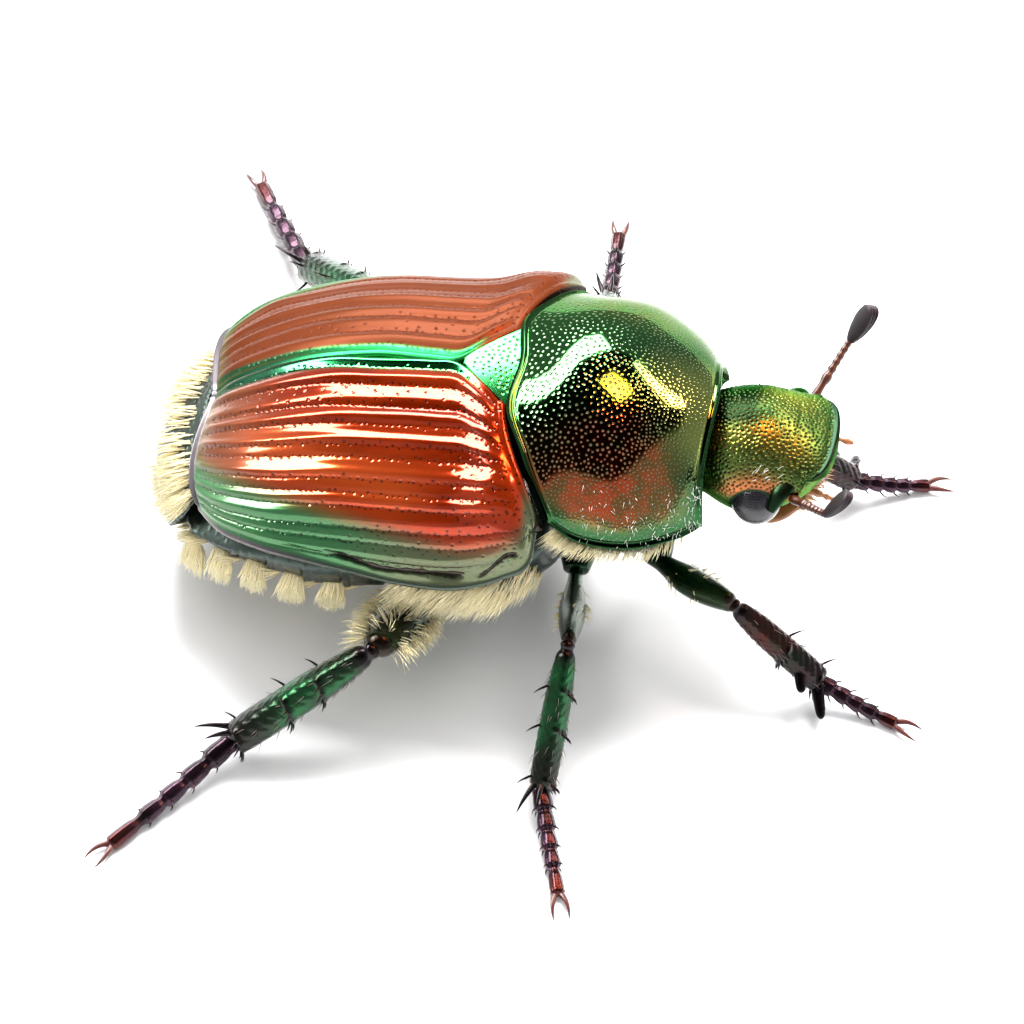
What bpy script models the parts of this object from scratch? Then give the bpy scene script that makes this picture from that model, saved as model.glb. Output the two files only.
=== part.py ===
"""A Japanese beetle, life size, standing on its six feet: head to +X, left side to +Y, +Z up.

Lengths are millimetres in the beetle's own frame: x = 0 at the middle of the pronotum's hind
margin, y = 0 on the midline, z = 0 on the floor. The last step turns them to metres and puts
the origin on the floor under the middle of the whole beetle.
"""

import math
import random

import bmesh
import bpy
import numpy as np
from mathutils import Matrix

MM = 0.001
ROOT = "beetle"
SIDES = {"right": -1, "left": 1}
SMOOTH_ANGLE = math.radians(40)

# Room kept between an eye and its socket, and between a feeler's stalk and its club
SMALL_GAP = 0.15

# Pronotum: tracks run from its hind margin (share 0) to its front margin (share 1)
PRONOTUM_CROWN = (
    (0, 0.0, 0, 5.42), (0.3, 0.95, 0, 5.73), (0.55, 1.8, 0, 5.66), (0.8, 2.65, 0, 5.34),
    (1, 3.21, 0, 5.04),
)
PRONOTUM_EDGE = (
    (0, 0.8, 2.38, 4.28), (0.22, 1.25, 2.44, 3.99), (0.5, 2.05, 2.43, 3.92), (0.8, 2.84, 2.0, 3.8),
    (1, 3.18, 1.58, 3.64),
)
PRONOTUM_FALL = ((0, 1.1), (0.5, 1.24), (0.8, 1.4), (1, 1.25))
HIND_LOBE = 0.12
FRONT_BAY = 0.06
PROTHORAX_KEEL = (
    (0, 1.0, 0, 2.45), (0.3, 1.4, 0, 2.25), (0.6, 2.3, 0, 2.25), (0.85, 2.72, 0, 2.7), (1, 2.86, 0, 3.2),
)
PROTHORAX_HIND_CENTRE = (0.5, 0, 4.0)
PROTHORAX_FRONT_CENTRE = (2.75, 0, 4.1)
COLLAR_SHARE = 0.82
KEEL_TUCK = 1.7

# Wing case: tracks run from its front edge (share 0) to its tip edge (share 1)
SUTURE = (
    (0, -0.25, 0.96, 5.22), (0.1, -0.62, 0.6, 5.25), (0.19, -1.1, 0.18, 5.2), (0.26, -1.5, 0.1, 5.17),
    (0.45, -2.5, 0.1, 5.07), (0.63, -3.4, 0.1, 4.85), (0.8, -4.25, 0.1, 4.4), (0.92, -4.85, 0.1, 3.93),
    (1, -5.13, 0.1, 3.55),
)
WING_CASE_EDGE = (
    (0, 0.6, 2.6, 4.22), (0.05, 0.55, 2.95, 3.85), (0.12, 0.15, 3.02, 3.5), (0.22, -0.55, 3.05, 3.14),
    (0.36, -1.5, 3.03, 3.05), (0.5, -2.3, 3.0, 3.15), (0.65, -3.1, 2.92, 3.2), (0.8, -3.95, 2.72, 3.15),
    (0.92, -4.6, 2.36, 3.03), (1, -4.95, 1.96, 2.97),
)
WING_CASE_FALL = ((0, 1.2), (0.08, 0.92), (0.2, 0.9), (0.4, 0.98), (0.65, 1.18), (0.8, 1.3), (1, 1.2))
WING_CASE_LEAN = ((0, 1.5), (0.2, 1.0), (1, 1.0))
INNER_CROWN_SHIFT = ((0, 0, 0, -0.5), (0.7, 0.06, 0, -0.5), (0.9, 0.32, 0, -0.4), (1, 0.5, 0, 0))
INNER_EDGE_SHIFT = ((0, 0, -0.42, -0.2), (0.2, 0, -0.5, 0), (0.8, 0.15, -0.48, 0), (1, 0.36, -0.34, 0))
TIP_EDGE_BULGE = 0.26
RIDGES = 6
RIDGE_HEIGHT = 0.035
WING_CASE_GRID = (24, 24)

# Scutellum, the small triangle between the pronotum and the wing cases
SCUTELLUM_BASE = (-0.23, 0.72, 5.27)
SCUTELLUM_TIP_X = -0.96
SCUTELLUM_BOW = 1.15
SCUTELLUM_CROWN = 0.07
SCUTELLUM_THICKNESS = 0.5

# Trunk rings: share, x, half width, side height, top height, bottom height, slant
THORAX_RINGS = (
    (0, 0.5, 2.2, 2.75, 4.2, 1.6, -0.2), (0.15, 0.3, 2.45, 2.65, 4.3, 1.5, -0.1),
    (0.45, -0.35, 2.66, 2.55, 4.4, 1.38, 0), (0.75, -1.1, 2.7, 2.5, 4.4, 1.35, 0),
    (1, -1.6, 2.66, 2.5, 4.38, 1.42, 0),
)
ABDOMEN_RINGS = (
    (0, -1.85, 2.62, 2.5, 4.36, 1.5, 0), (0.3, -2.85, 2.72, 2.5, 4.2, 1.42, 0),
    (0.6, -3.85, 2.5, 2.46, 3.8, 1.4, 0.1), (0.85, -4.75, 2.12, 2.3, 3.05, 1.42, 0.35),
    (1, -5.25, 1.72, 2.15, 2.6, 1.55, 0.5),
)
SLANT_LEVEL = 2.0
LEDGE_RISE = 0.36
LEDGE_SLOPE = 0.08
CORE_INSET = 0.4
BELLY_ROUNDNESS = 1.3
SEGMENTS_OF_BELLY = 5
SEGMENT_STEP = 0.05

# Pygidium, the shield behind the wing cases: tracks run down from its upper edge
PYGIDIUM_CROWN = ((0, -5.3, 0, 3.2), (0.35, -5.78, 0, 2.8), (0.7, -6.1, 0, 2.1), (1, -6.04, 0, 1.3))
PYGIDIUM_EDGE = (
    (0, -5.1, 1.6, 2.85), (0.35, -5.36, 1.68, 2.4), (0.7, -5.68, 1.4, 1.8), (1, -5.86, 0.55, 1.28),
)
PYGIDIUM_THICKNESS = 0.36
PYGIDIUM_INSET = 0.08
PYGIDIUM_GRID = (10, 12)

# Head rings: x, half width, crown height, side height, throat height
HEAD_RINGS = (
    (3.08, 0.84, 4.5, 3.86, 3.35), (3.36, 0.98, 4.64, 3.86, 3.1), (3.6, 1.08, 4.8, 3.84, 3.0),
    (3.95, 1.12, 4.87, 3.84, 2.96), (4.3, 1.06, 4.85, 3.94, 3.12), (4.6, 1.03, 4.79, 4.08, 3.46),
    (4.85, 1.02, 4.71, 4.22, 3.76), (5.05, 0.98, 4.63, 4.34, 4.04), (5.18, 0.89, 4.57, 4.42, 4.26),
)
HEAD_BOW = ((3.08, 0.0), (4.5, 0.0), (4.85, 0.06), (5.05, 0.15), (5.18, 0.2))
HEAD_ROUNDNESS = 0.92
HEAD_SIDES = 20
EYE_CENTRE = (4.0, 0.93, 3.73)
EYE_RADIUS = 0.4
MOUTH_RINGS = (
    (3.95, 0.5, 2.82, 2.66, 2.5), (4.25, 0.56, 2.92, 2.74, 2.55), (4.55, 0.56, 3.22, 3.0, 2.78),
    (4.85, 0.5, 3.55, 3.34, 3.14), (5.0, 0.34, 3.72, 3.56, 3.42),
)

# Feelers, each end given for the left and the right side, as they are held unlike
ANTENNA_BASE = {"right": (4.7, -1.16, 4.08), "left": (4.7, 1.16, 4.08)}
ANTENNA_BEND = {"right": (5.16, -1.62, 4.36), "left": (5.08, 1.98, 4.42)}
CLUB_TIP = {"right": (5.6, -1.6, 4.98), "left": (5.46, 2.3, 5.08)}
STALK_RADIUS = 0.125
STALK_BEADS = ((0, 1.2), (0.12, 0.8), (0.3, 1.05), (0.5, 0.9), (0.75, 0.95), (1, 0.8))
LEAF_HALF_WIDTH = 0.18
LEAF_HALF_THICKNESS = 0.09
LEAF_OUTLINE = ((0, 0.45, 1), (0.2, 0.8, 1), (0.55, 1, 1), (0.85, 0.75, 0.9), (1, 0.35, 0.5))
LEAF_SPREAD = (-0.13, 0.0, 0.13)
PALP_ROOT = (5.0, 0.6, 3.72)
PALP_TIP = (5.4, 0.64, 3.54)
PALP_RADIUS = 0.1
PALP_OUTLINE = ((0, 0.8), (0.6, 1), (1, 0.6))

# Legs: the joints of each chain, from its root to the tips of its claws
LEG_JOINTS = {
    "hind_right": ((-1.35, -0.95, 1.0), (-1.78, -3.76, 2.26), (-4.03, -4.7, 0.52), (-5.99, -7.18, 0.0)),
    "hind_left": ((-1.35, 0.95, 1.0), (-2.85, 3.7, 2.05), (-4.5, 5.35, 0.72), (-5.95, 7.95, 0.0)),
    "mid_right": ((0.8, -0.85, 1.1), (1.27, -3.15, 2.28), (1.09, -4.84, 0.47), (1.78, -7.1, 0.0)),
    "mid_left": ((0.8, 0.85, 1.1), (0.72, 3.5, 2.2), (0.62, 5.5, 0.6), (0.5, 7.85, 0.0)),
    "front_right": ((2.2, -0.72, 1.75), (3.75, -1.83, 2.1), (5.26, -1.95, 0.5), (7.02, -2.48, 0.0)),
    "front_left": ((2.2, 0.72, 1.75), (3.76, 1.8, 2.1), (5.26, 2.34, 0.52), (6.9, 2.88, 0.0)),
}
FEMUR_SAG = {"hind": 0.2, "mid": 0.18, "front": 0.08}
FEMUR_HALF_SIZE = {"hind": (0.44, 0.27), "mid": (0.27, 0.25), "front": (0.27, 0.25)}
TIBIA_RADIUS = {"hind": (0.21, 0.32), "mid": (0.18, 0.24), "front": (0.18, 0.25)}
TARSUS_RADIUS = {"hind": (0.2, 0.14), "mid": (0.18, 0.14), "front": (0.17, 0.13)}
TARSUS_SEGMENT_ENDS = (0.0, 0.2, 0.38, 0.55, 0.72, 1.0)
KNEE_ROOM = 0.36
ANKLE_ROOM = 0.32
CLAW_LENGTH = 0.4
CLAW_RADIUS = 0.07
CLAW_SPREAD = 0.13
CLAW_DROP = 0.07
TARSUS_SAG = 0.05
FOOT_RISE = 0.1
SPINE_LENGTH = 0.34
SPINE_RADIUS = 0.055
SPINE_ROOT_DEPTH = 0.12
SPUR_RADIUS = 0.07
SPURS = ((-0.56, 0.62), (0.1, 0.45))
COMB_SLANT = 0.03
SPINE_COMBS = {"hind": (0.42, 0.62, 0.93), "mid": (0.38, 0.62, 0.93), "front": (0.6,)}
SPINES_IN_COMB = 4
TOOTH_SHARES = (0.97, 0.78)
TOOTH_LENGTHS = (0.5, 0.3)
TOOTH_RADIUS = 0.13
BRISTLE_LENGTH = 0.2
BRISTLE_RADIUS = 0.045

# Pale locks
SIDE_TUFTS = ((-2.67, 2.42), (-3.35, 2.36), (-4.01, 2.3), (-4.62, 2.12), (-5.14, 1.8))
PYGIDIUM_TUFT = (0.36, 0.5)
TUFT_LOCKS = 4
TUFT_SPREAD = 0.4
TUFT_REACH = 0.34
TUFT_DROP = 0.3
TUFT_FAN = 0.12
TUFT_STAGGER = 0.08
LOCK_WIDTH = 0.27
LOCK_THICKNESS = 0.16
LOCK_ROOT_DEPTH = 0.15
LOCK_BEND = 0.1
FRINGE_LOCKS = 15
FRINGE_SHARES = (0.1, 0.96)
FRINGE_RISE = (0.3, 0.08)
FRINGE_LEAN = -0.16
FRINGE_REACH = 0.38
FRINGE_DROP = 0.33

# Colours: base colour, roughness, metallic
METALLIC_GREEN = ((0.03, 0.2, 0.05), 0.25, 0.9)
DARK_GREEN = ((0.02, 0.07, 0.03), 0.35, 0.8)
COPPER = ((0.33, 0.09, 0.02), 0.25, 0.5)
PURPLE_BLACK = ((0.03, 0.012, 0.02), 0.35, 0.4)
RED_BROWN = ((0.18, 0.04, 0.015), 0.4, 0.1)
EYE_BLACK = ((0.012, 0.012, 0.016), 0.15, 0.0)


def track(keys, share):
    """Values at a share of the way along keys of (share, value, ...), smooth through every key."""
    keys = np.array(keys, float)
    shares, values = keys[:, 0], keys[:, 1:]
    slopes = np.gradient(values, shares, axis=0)
    i = int(np.clip(np.searchsorted(shares, share) - 1, 0, len(keys) - 2))
    span = shares[i + 1] - shares[i]
    t = (share - shares[i]) / span
    return (
        (2 * t**3 - 3 * t**2 + 1) * values[i]
        + (t**3 - 2 * t**2 + t) * span * slopes[i]
        + (3 * t**2 - 2 * t**3) * values[i + 1]
        + (t**3 - t**2) * span * slopes[i + 1]
    )


def unit(vector):
    return vector / np.linalg.norm(vector)


def arch(crown, edge, turn, lean=1.0, fall=1.0):
    """Point of the arch from crown (turn 0) down to edge (turn 1)."""
    s = math.sin(turn * math.pi / 2)
    c = max(math.cos(turn * math.pi / 2), 0.0)
    return np.array([
        crown[0] + (edge[0] - crown[0]) * s**lean,
        crown[1] + (edge[1] - crown[1]) * s,
        edge[2] + (crown[2] - edge[2]) * c**fall,
    ])


def mirrored(point, side):
    """The point on its own side of the midline: side is +1 for left, -1 for right."""
    return np.array([point[0], point[1] * side, point[2]])


# Meshes


def mesh_of(points, faces, name):
    """A closed mesh in millimetres, split into triangles with its faces turned outward."""
    body = bmesh.new()
    corners = [body.verts.new(point) for point in points]
    for face in faces:
        body.faces.new([corners[i] for i in face])
    bmesh.ops.triangulate(body, faces=body.faces)
    bmesh.ops.recalc_face_normals(body, faces=body.faces)
    if body.calc_volume(signed=True) < 0:
        bmesh.ops.reverse_faces(body, faces=body.faces)
    mesh = bpy.data.meshes.new(name)
    body.to_mesh(mesh)
    body.free()
    return mesh


def loft(rings, start=None, end=None):
    """Points and faces of a closed body through rings of like count, capped at a start and an end point."""
    rings = [np.array(ring) for ring in rings]
    count = len(rings[0])
    points = [point for ring in rings for point in ring]
    faces = []
    for i in range(len(rings) - 1):
        for j in range(count):
            k = (j + 1) % count
            a, b = i * count, (i + 1) * count
            faces.append((a + j, a + k, b + k, b + j))
    points.append(rings[0].mean(axis=0) if start is None else np.array(start))
    points.append(rings[-1].mean(axis=0) if end is None else np.array(end))
    first, last = len(points) - 2, len(points) - 1
    tail = (len(rings) - 1) * count
    for j in range(count):
        k = (j + 1) % count
        faces.append((k, j, first))
        faces.append((tail + j, tail + k, last))
    return points, faces


def shell(outer, inner, rows, columns):
    """A closed plate between two surfaces of (u, v), the inner one on a grid half as fine."""
    points = [outer(i / rows, j / columns) for i in range(rows + 1) for j in range(columns + 1)]
    half_rows, half_columns = rows // 2, columns // 2
    base = len(points)
    points += [
        inner(i / half_rows, j / half_columns)
        for i in range(half_rows + 1) for j in range(half_columns + 1)
    ]

    def top(i, j):
        return i * (columns + 1) + j

    def under(i, j):
        return base + i * (half_columns + 1) + j

    faces = [
        (top(i, j), top(i, j + 1), top(i + 1, j + 1), top(i + 1, j))
        for i in range(rows) for j in range(columns)
    ]
    faces += [
        (under(i, j), under(i + 1, j), under(i + 1, j + 1), under(i, j + 1))
        for i in range(half_rows) for j in range(half_columns)
    ]
    rim = [((0, 0), (0, 1), half_columns), ((rows, columns), (0, -1), half_columns)]
    rim += [((0, columns), (1, 0), half_rows), ((rows, 0), (-1, 0), half_rows)]
    for (i, j), (di, dj), count in rim:
        for step in range(count):
            i0, j0 = i + 2 * di * step, j + 2 * dj * step
            near, middle, far = top(i0, j0), top(i0 + di, j0 + dj), top(i0 + 2 * di, j0 + 2 * dj)
            low_near, low_far = under(i0 // 2, j0 // 2), under(i0 // 2 + di, j0 // 2 + dj)
            faces += [(middle, near, low_near), (middle, low_near, low_far), (middle, low_far, far)]
    return points, faces


def limb_frame(path, share):
    """The place, direction, side and upper side of a limb at a share of its path."""
    place = track(path, share)
    along = unit(track(path, share + 0.01) - track(path, share - 0.01))
    side = unit(np.cross((0, 0, 1), along))
    return place, along, side, np.cross(along, side)


def limb(path, sizes, stations, sides, start=None, end=None):
    """A closed limb: sizes is a track of half widths (across, thick) along the path."""
    rings = []
    for share in stations:
        place, _, side, over = limb_frame(path, share)
        across, thick = track(sizes, share)
        turns = [2 * math.pi * (j + 0.5) / sides for j in range(sides)]
        rings.append([place + side * across * math.cos(a) + over * thick * math.sin(a) for a in turns])
    return loft(rings, start, end)


def on_limb(path, sizes, share, turn):
    """A point on a limb's surface, with the direction outward there and the direction along."""
    place, along, side, over = limb_frame(path, share)
    across, thick = track(sizes, share)
    outward = unit(side * math.cos(turn) * thick + over * math.sin(turn) * across)
    return place + side * across * math.cos(turn) + over * thick * math.sin(turn), outward, along


def spine(root, tip, radius, sides=3):
    """A tapered spine from a root sunk in its limb to a fine tip."""
    along = unit(tip - root)
    side = unit(np.cross(along, (0.31, 0.47, 0.83)))
    over = np.cross(along, side)
    rings = []
    for share, wide in ((0, 1.0), (0.55, 0.72)):
        place = root + (tip - root) * share
        turns = [2 * math.pi * j / sides for j in range(sides)]
        rings.append([place + radius * wide * (side * math.cos(a) + over * math.sin(a)) for a in turns])
    return loft(rings, end=tip)


def lock(root, tip, bend, width, thick, face):
    """A flat, tapered lock of hair, its middle moved by bend and its flat side turned to face."""
    along = unit(tip - root)
    side = unit(np.cross(face, along))
    over = np.cross(along, side)
    rings = []
    for share, wide in ((0, 0.8), (0.4, 1.0), (0.75, 0.65)):
        place = root + (tip - root) * share + bend * math.sin(math.pi * share)
        across, up = side * width * wide / 2, over * thick * wide / 2
        rings.append([place + across, place + up, place - across, place - up])
    return loft(rings, end=tip)


# Objects


def material(name, look):
    colour, roughness, metallic = look
    made = bpy.data.materials.new(name)
    made.use_nodes = True
    shader = made.node_tree.nodes["Principled BSDF"]
    shader.inputs["Base Color"].default_value = (*colour, 1)
    shader.inputs["Roughness"].default_value = roughness
    shader.inputs["Metallic"].default_value = metallic
    return made


def keep_largest(mesh):
    """Keeps only the largest closed surface of a mesh."""
    body = bmesh.new()
    body.from_mesh(mesh)
    left = set(body.faces)
    islands = []
    while left:
        seed = left.pop()
        island, edge_of_island = {seed}, [seed]
        while edge_of_island:
            face = edge_of_island.pop()
            for edge in face.edges:
                for other in edge.link_faces:
                    if other in left:
                        left.remove(other)
                        island.add(other)
                        edge_of_island.append(other)
        islands.append(island)
    largest = max(islands, key=lambda island: sum(face.calc_area() for face in island))
    drop = [face for island in islands if island is not largest for face in island]
    bmesh.ops.delete(body, geom=drop, context="FACES")
    loose = [vert for vert in body.verts if not vert.link_faces]
    bmesh.ops.delete(body, geom=loose, context="VERTS")
    bmesh.ops.triangulate(body, faces=body.faces)
    body.to_mesh(mesh)
    body.free()


def cut_at_floor(mesh):
    """Cuts off what reaches below the floor and closes the cut with a flat."""
    body = bmesh.new()
    body.from_mesh(mesh)
    whole = list(body.verts) + list(body.edges) + list(body.faces)
    floor = {"plane_co": (0, 0, 0), "plane_no": (0, 0, 1)}
    bmesh.ops.bisect_plane(body, geom=whole, dist=1e-6, clear_inner=True, **floor)
    rim = [edge for edge in body.edges if len(edge.link_faces) == 1]
    bmesh.ops.holes_fill(body, edges=rim)
    bmesh.ops.triangulate(body, faces=body.faces)
    bmesh.ops.recalc_face_normals(body, faces=body.faces)
    body.to_mesh(mesh)
    body.free()


def joined(name, pieces, operation="UNION", solver="EXACT"):
    """One mesh from a first piece and the rest, by one Boolean on a collection that is then removed."""
    scene = bpy.context.scene.collection
    first = bpy.data.objects.new(name + "_first", mesh_of(*pieces[0], name))
    scene.objects.link(first)
    rest = bpy.data.collections.new(name + "_rest")
    scene.children.link(rest)
    for i, piece in enumerate(pieces[1:]):
        rest.objects.link(bpy.data.objects.new(f"{name}_{i}", mesh_of(*piece, name)))
    boolean = first.modifiers.new("join", "BOOLEAN")
    boolean.operation = operation
    boolean.operand_type = "COLLECTION"
    boolean.collection = rest
    boolean.solver = solver
    graph = bpy.context.evaluated_depsgraph_get()
    mesh = bpy.data.meshes.new_from_object(first.evaluated_get(graph))
    for used in [first, *rest.objects]:
        bpy.data.objects.remove(used)
    bpy.data.collections.remove(rest)
    keep_largest(mesh)
    return mesh


def add_node(name, mesh, look):
    """A named sub-part, turned to metres and parented to the root empty."""
    mesh.name = name
    mesh.transform(Matrix.Scale(MM, 4))
    mesh.materials.clear()
    mesh.materials.append(material(name, look))
    mesh.shade_smooth()
    mesh.set_sharp_from_angle(angle=SMOOTH_ANGLE)
    node = bpy.data.objects.new(name, mesh)
    bpy.context.scene.collection.objects.link(node)
    node.parent = bpy.data.objects[ROOT]
    return node


# Body plates


def pronotum_top(u, v):
    """The pronotum's upper side: u from hind to front margin, v from -1 (right edge) to 1 (left edge)."""
    fall = track(PRONOTUM_FALL, u)[0]
    point = arch(track(PRONOTUM_CROWN, u), track(PRONOTUM_EDGE, u), abs(v), lean=3 - 2 * u, fall=fall)
    point[0] -= HIND_LOBE * (1 - u) ** 4 * math.sin(math.pi * min(1.0, 2 * abs(v))) ** 2
    point[0] -= FRONT_BAY * u**4 * math.sin(math.pi * abs(v)) ** 2
    return mirrored(point, -1 if v < 0 else 1)


def prothorax_ring(u, top_count=22, under_count=8):
    """A ring round the prothorax: over the pronotum from right to left, then back under the keel."""
    ring = [pronotum_top(u, 2 * j / top_count - 1) for j in range(top_count + 1)]
    edge, keel = track(PRONOTUM_EDGE, u), track(PROTHORAX_KEEL, u)
    for j in range(1, under_count):
        turn = math.pi * j / under_count
        s = math.sin(turn)
        ring.append(np.array([
            edge[0] + (keel[0] - edge[0]) * s,
            edge[1] * math.cos(turn),
            edge[2] + (keel[2] - edge[2]) * s**KEEL_TUCK,
        ]))
    return ring


def build_pronotum():
    rings = [prothorax_ring(i / 16) for i in range(17)]
    centre = np.array(PROTHORAX_FRONT_CENTRE)
    collar = [centre + (point - centre) * COLLAR_SHARE for point in rings[-1]]
    rings.append([point * (0, 1, 1) + (centre[0] + 0.02, 0, 0) for point in collar])
    body = loft(rings, PROTHORAX_HIND_CENTRE, PROTHORAX_FRONT_CENTRE)
    add_node("pronotum", mesh_of(*body, "pronotum"), METALLIC_GREEN)


def wing_case_surface(u, v, inner=False):
    """A wing case's outer or inner side: u from front to tip, v from suture (0) to outer edge (1)."""
    crown, edge = track(SUTURE, u), track(WING_CASE_EDGE, u)
    if inner:
        crown, edge = crown + track(INNER_CROWN_SHIFT, u), edge + track(INNER_EDGE_SHIFT, u)
    point = arch(crown, edge, v, lean=track(WING_CASE_LEAN, u)[0], fall=track(WING_CASE_FALL, u)[0])
    tip_share = max(0.0, (u - 0.6) / 0.4) ** 2
    point[0] -= TIP_EDGE_BULGE * tip_share * math.sin(math.pi * v)
    if not inner:
        turn = v * math.pi / 2
        rise, width = crown[2] - edge[2], edge[1] - crown[1]
        outward = unit(np.array([0, math.sin(turn) * rise, math.cos(turn) * width]))
        fade = min(1, (1 - v) / 0.2) * min(1, u / 0.08) * min(1, (1 - u) / 0.1)
        point += outward * RIDGE_HEIGHT * fade * math.cos(2 * math.pi * RIDGES * v)
    return point


def build_wing_case(side_name, side):
    body = shell(
        lambda u, v: mirrored(wing_case_surface(u, v), side),
        lambda u, v: mirrored(wing_case_surface(u, v, inner=True), side),
        *WING_CASE_GRID,
    )
    name = "elytron_" + side_name
    add_node(name, mesh_of(*body, name), COPPER)


def build_scutellum():
    base_x, half_base, height = SCUTELLUM_BASE
    outline = []
    for j in range(-5, 6):
        across = j / 5
        x = SCUTELLUM_TIP_X + (base_x - SCUTELLUM_TIP_X) * abs(across) ** SCUTELLUM_BOW
        outline.append((x, half_base * across))
    outline += [(base_x, half_base * a) for a in (0.6, 0.2, -0.2, -0.6)]
    top = [np.array([x, y, height - SCUTELLUM_CROWN * (y / half_base) ** 2]) for x, y in outline]
    under = [point - np.array([0, 0, SCUTELLUM_THICKNESS]) for point in top]
    centre = np.array([(base_x + SCUTELLUM_TIP_X) / 2, 0, height])
    body = loft([under, top], end=centre)
    add_node("scutellum", mesh_of(*body, "scutellum"), METALLIC_GREEN)


# Trunk


def trunk_ring(values, step=0.0):
    """A ring round the trunk: a core under the wing cases, a ledge at their edges, a round belly."""
    x, half_width, side, top, bottom, slant = values
    core = half_width - CORE_INSET
    ledge = side + LEDGE_RISE
    half = [(half_width - step, side), (half_width - LEDGE_SLOPE, ledge)]
    foot = ledge + LEDGE_SLOPE
    turns = [math.pi * j / 8 for j in range(9)]
    over = [(core * math.cos(a), foot + (top - foot) * math.sin(a)) for a in turns]
    belly = []
    for j in range(1, 10):
        turn = math.pi * j / 10
        depth = (side - bottom - step) * math.sin(turn) ** BELLY_ROUNDNESS
        belly.append((-(half_width - step) * math.cos(turn), side - depth))
    outline = half + over + [(-y, z) for y, z in reversed(half)] + belly
    return [np.array([x + slant * (z - SLANT_LEVEL), y, z]) for y, z in outline]


def fringe_locks(side):
    """Rows of pale locks that hang from the thorax's side, just under the wing case's edge."""
    draw = random.Random(7 + side)
    locks = []
    for i in range(FRINGE_LOCKS):
        row = i % 2
        share = np.interp(i, (0, FRINGE_LOCKS - 1), FRINGE_SHARES)
        x, half_width, height = track(THORAX_RINGS, share)[:3]
        root = np.array([x, side * (half_width - LOCK_ROOT_DEPTH), height + FRINGE_RISE[row]])
        lean = FRINGE_LEAN * draw.uniform(0.6, 1.4)
        reach = FRINGE_REACH * draw.uniform(0.9, 1.1)
        tip = root + np.array([lean, side * reach, -FRINGE_DROP * draw.uniform(0.85, 1.15)])
        bend = np.array([0, 0, LOCK_BEND / 2])
        locks.append(lock(root, tip, bend, LOCK_WIDTH, LOCK_THICKNESS, np.array([0, side * 0.6, 0.8])))
    return locks


def build_thorax():
    rings = [trunk_ring(track(THORAX_RINGS, i / 8)) for i in range(9)]
    pieces = [loft(rings)] + fringe_locks(1) + fringe_locks(-1)
    add_node("thorax", joined("thorax", pieces), DARK_GREEN)


def tuft(centre, out, along, down):
    """A tuft of overlapping locks, rooted round a centre and spread along its row."""
    locks = []
    for i in range(TUFT_LOCKS):
        across = (i + 0.5) / TUFT_LOCKS - 0.5
        row = i % 2
        root = centre + along * across * TUFT_SPREAD - out * LOCK_ROOT_DEPTH - down * TUFT_STAGGER * row
        reach, drop = LOCK_ROOT_DEPTH + TUFT_REACH, TUFT_DROP + TUFT_STAGGER * row
        tip = root + along * across * TUFT_FAN + out * reach + down * drop
        locks.append(lock(root, tip, out * LOCK_BEND, LOCK_WIDTH, LOCK_THICKNESS, out))
    return locks


def abdomen_share(x):
    """The share of the abdomen's track at a place x."""
    shares = np.linspace(0, 1, 101)
    places = [track(ABDOMEN_RINGS, share)[0] for share in shares]
    return float(np.interp(-x, -np.array(places), shares))


def build_abdomen():
    rings = []
    for i in range(SEGMENTS_OF_BELLY):
        rings.append(trunk_ring(track(ABDOMEN_RINGS, (i + 0.04) / SEGMENTS_OF_BELLY)))
        rings.append(trunk_ring(track(ABDOMEN_RINGS, (i + 0.96) / SEGMENTS_OF_BELLY), step=SEGMENT_STEP))
    pieces = [loft(rings)]
    for side in (1, -1):
        for x, height in SIDE_TUFTS:
            half_width = track(ABDOMEN_RINGS, abdomen_share(x))[1]
            before, after = (track(ABDOMEN_RINGS, abdomen_share(x + d))[1] for d in (0.2, -0.2))
            along = unit(np.array([-0.4, side * (after - before), 0]))
            out = unit(np.cross(along, (0, 0, side)))
            centre = np.array([x, side * (half_width - 0.02), height])
            pieces += tuft(centre, out, along, np.array([0, 0, -1.0]))
    add_node("abdomen", joined("abdomen", pieces), DARK_GREEN)


def pygidium_surface(u, v, inner=False):
    """The pygidium's hind side, or its inner one: u from top to tip, v from right to left."""
    point = arch(track(PYGIDIUM_CROWN, u), track(PYGIDIUM_EDGE, u), abs(v), lean=1.6)
    if inner:
        point += np.array([PYGIDIUM_THICKNESS, -PYGIDIUM_INSET * abs(v), 0])
    return mirrored(point, -1 if v < 0 else 1)


def build_pygidium():
    body = shell(
        lambda u, v: pygidium_surface(u, 2 * v - 1),
        lambda u, v: pygidium_surface(u, 2 * v - 1, inner=True),
        *PYGIDIUM_GRID,
    )
    pieces = [body]
    for side in (1, -1):
        centre = pygidium_surface(PYGIDIUM_TUFT[0], side * PYGIDIUM_TUFT[1])
        out = unit(np.array([-0.9, side * 0.2, 0.35]))
        pieces += tuft(centre, out, np.array([0, 1.0, 0]), np.array([-0.2, 0, -0.95]))
    add_node("pygidium", joined("pygidium", pieces), DARK_GREEN)


# Head


def head_ring(values, sides=HEAD_SIDES):
    """A ring round the head, rounder than a box and squarer than an ellipse."""
    x, half_width, crown, side, throat = values
    bow = np.interp(x, *np.transpose(HEAD_BOW))
    ring = []
    for j in range(sides):
        turn = 2 * math.pi * j / sides
        c, s = math.cos(turn), math.sin(turn)
        across = math.copysign(abs(c) ** HEAD_ROUNDNESS, c)
        reach = crown - side if s > 0 else side - throat
        height = side + reach * math.copysign(abs(s) ** HEAD_ROUNDNESS, s)
        ring.append(np.array([x - bow * across**2, half_width * across, height]))
    return ring


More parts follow.
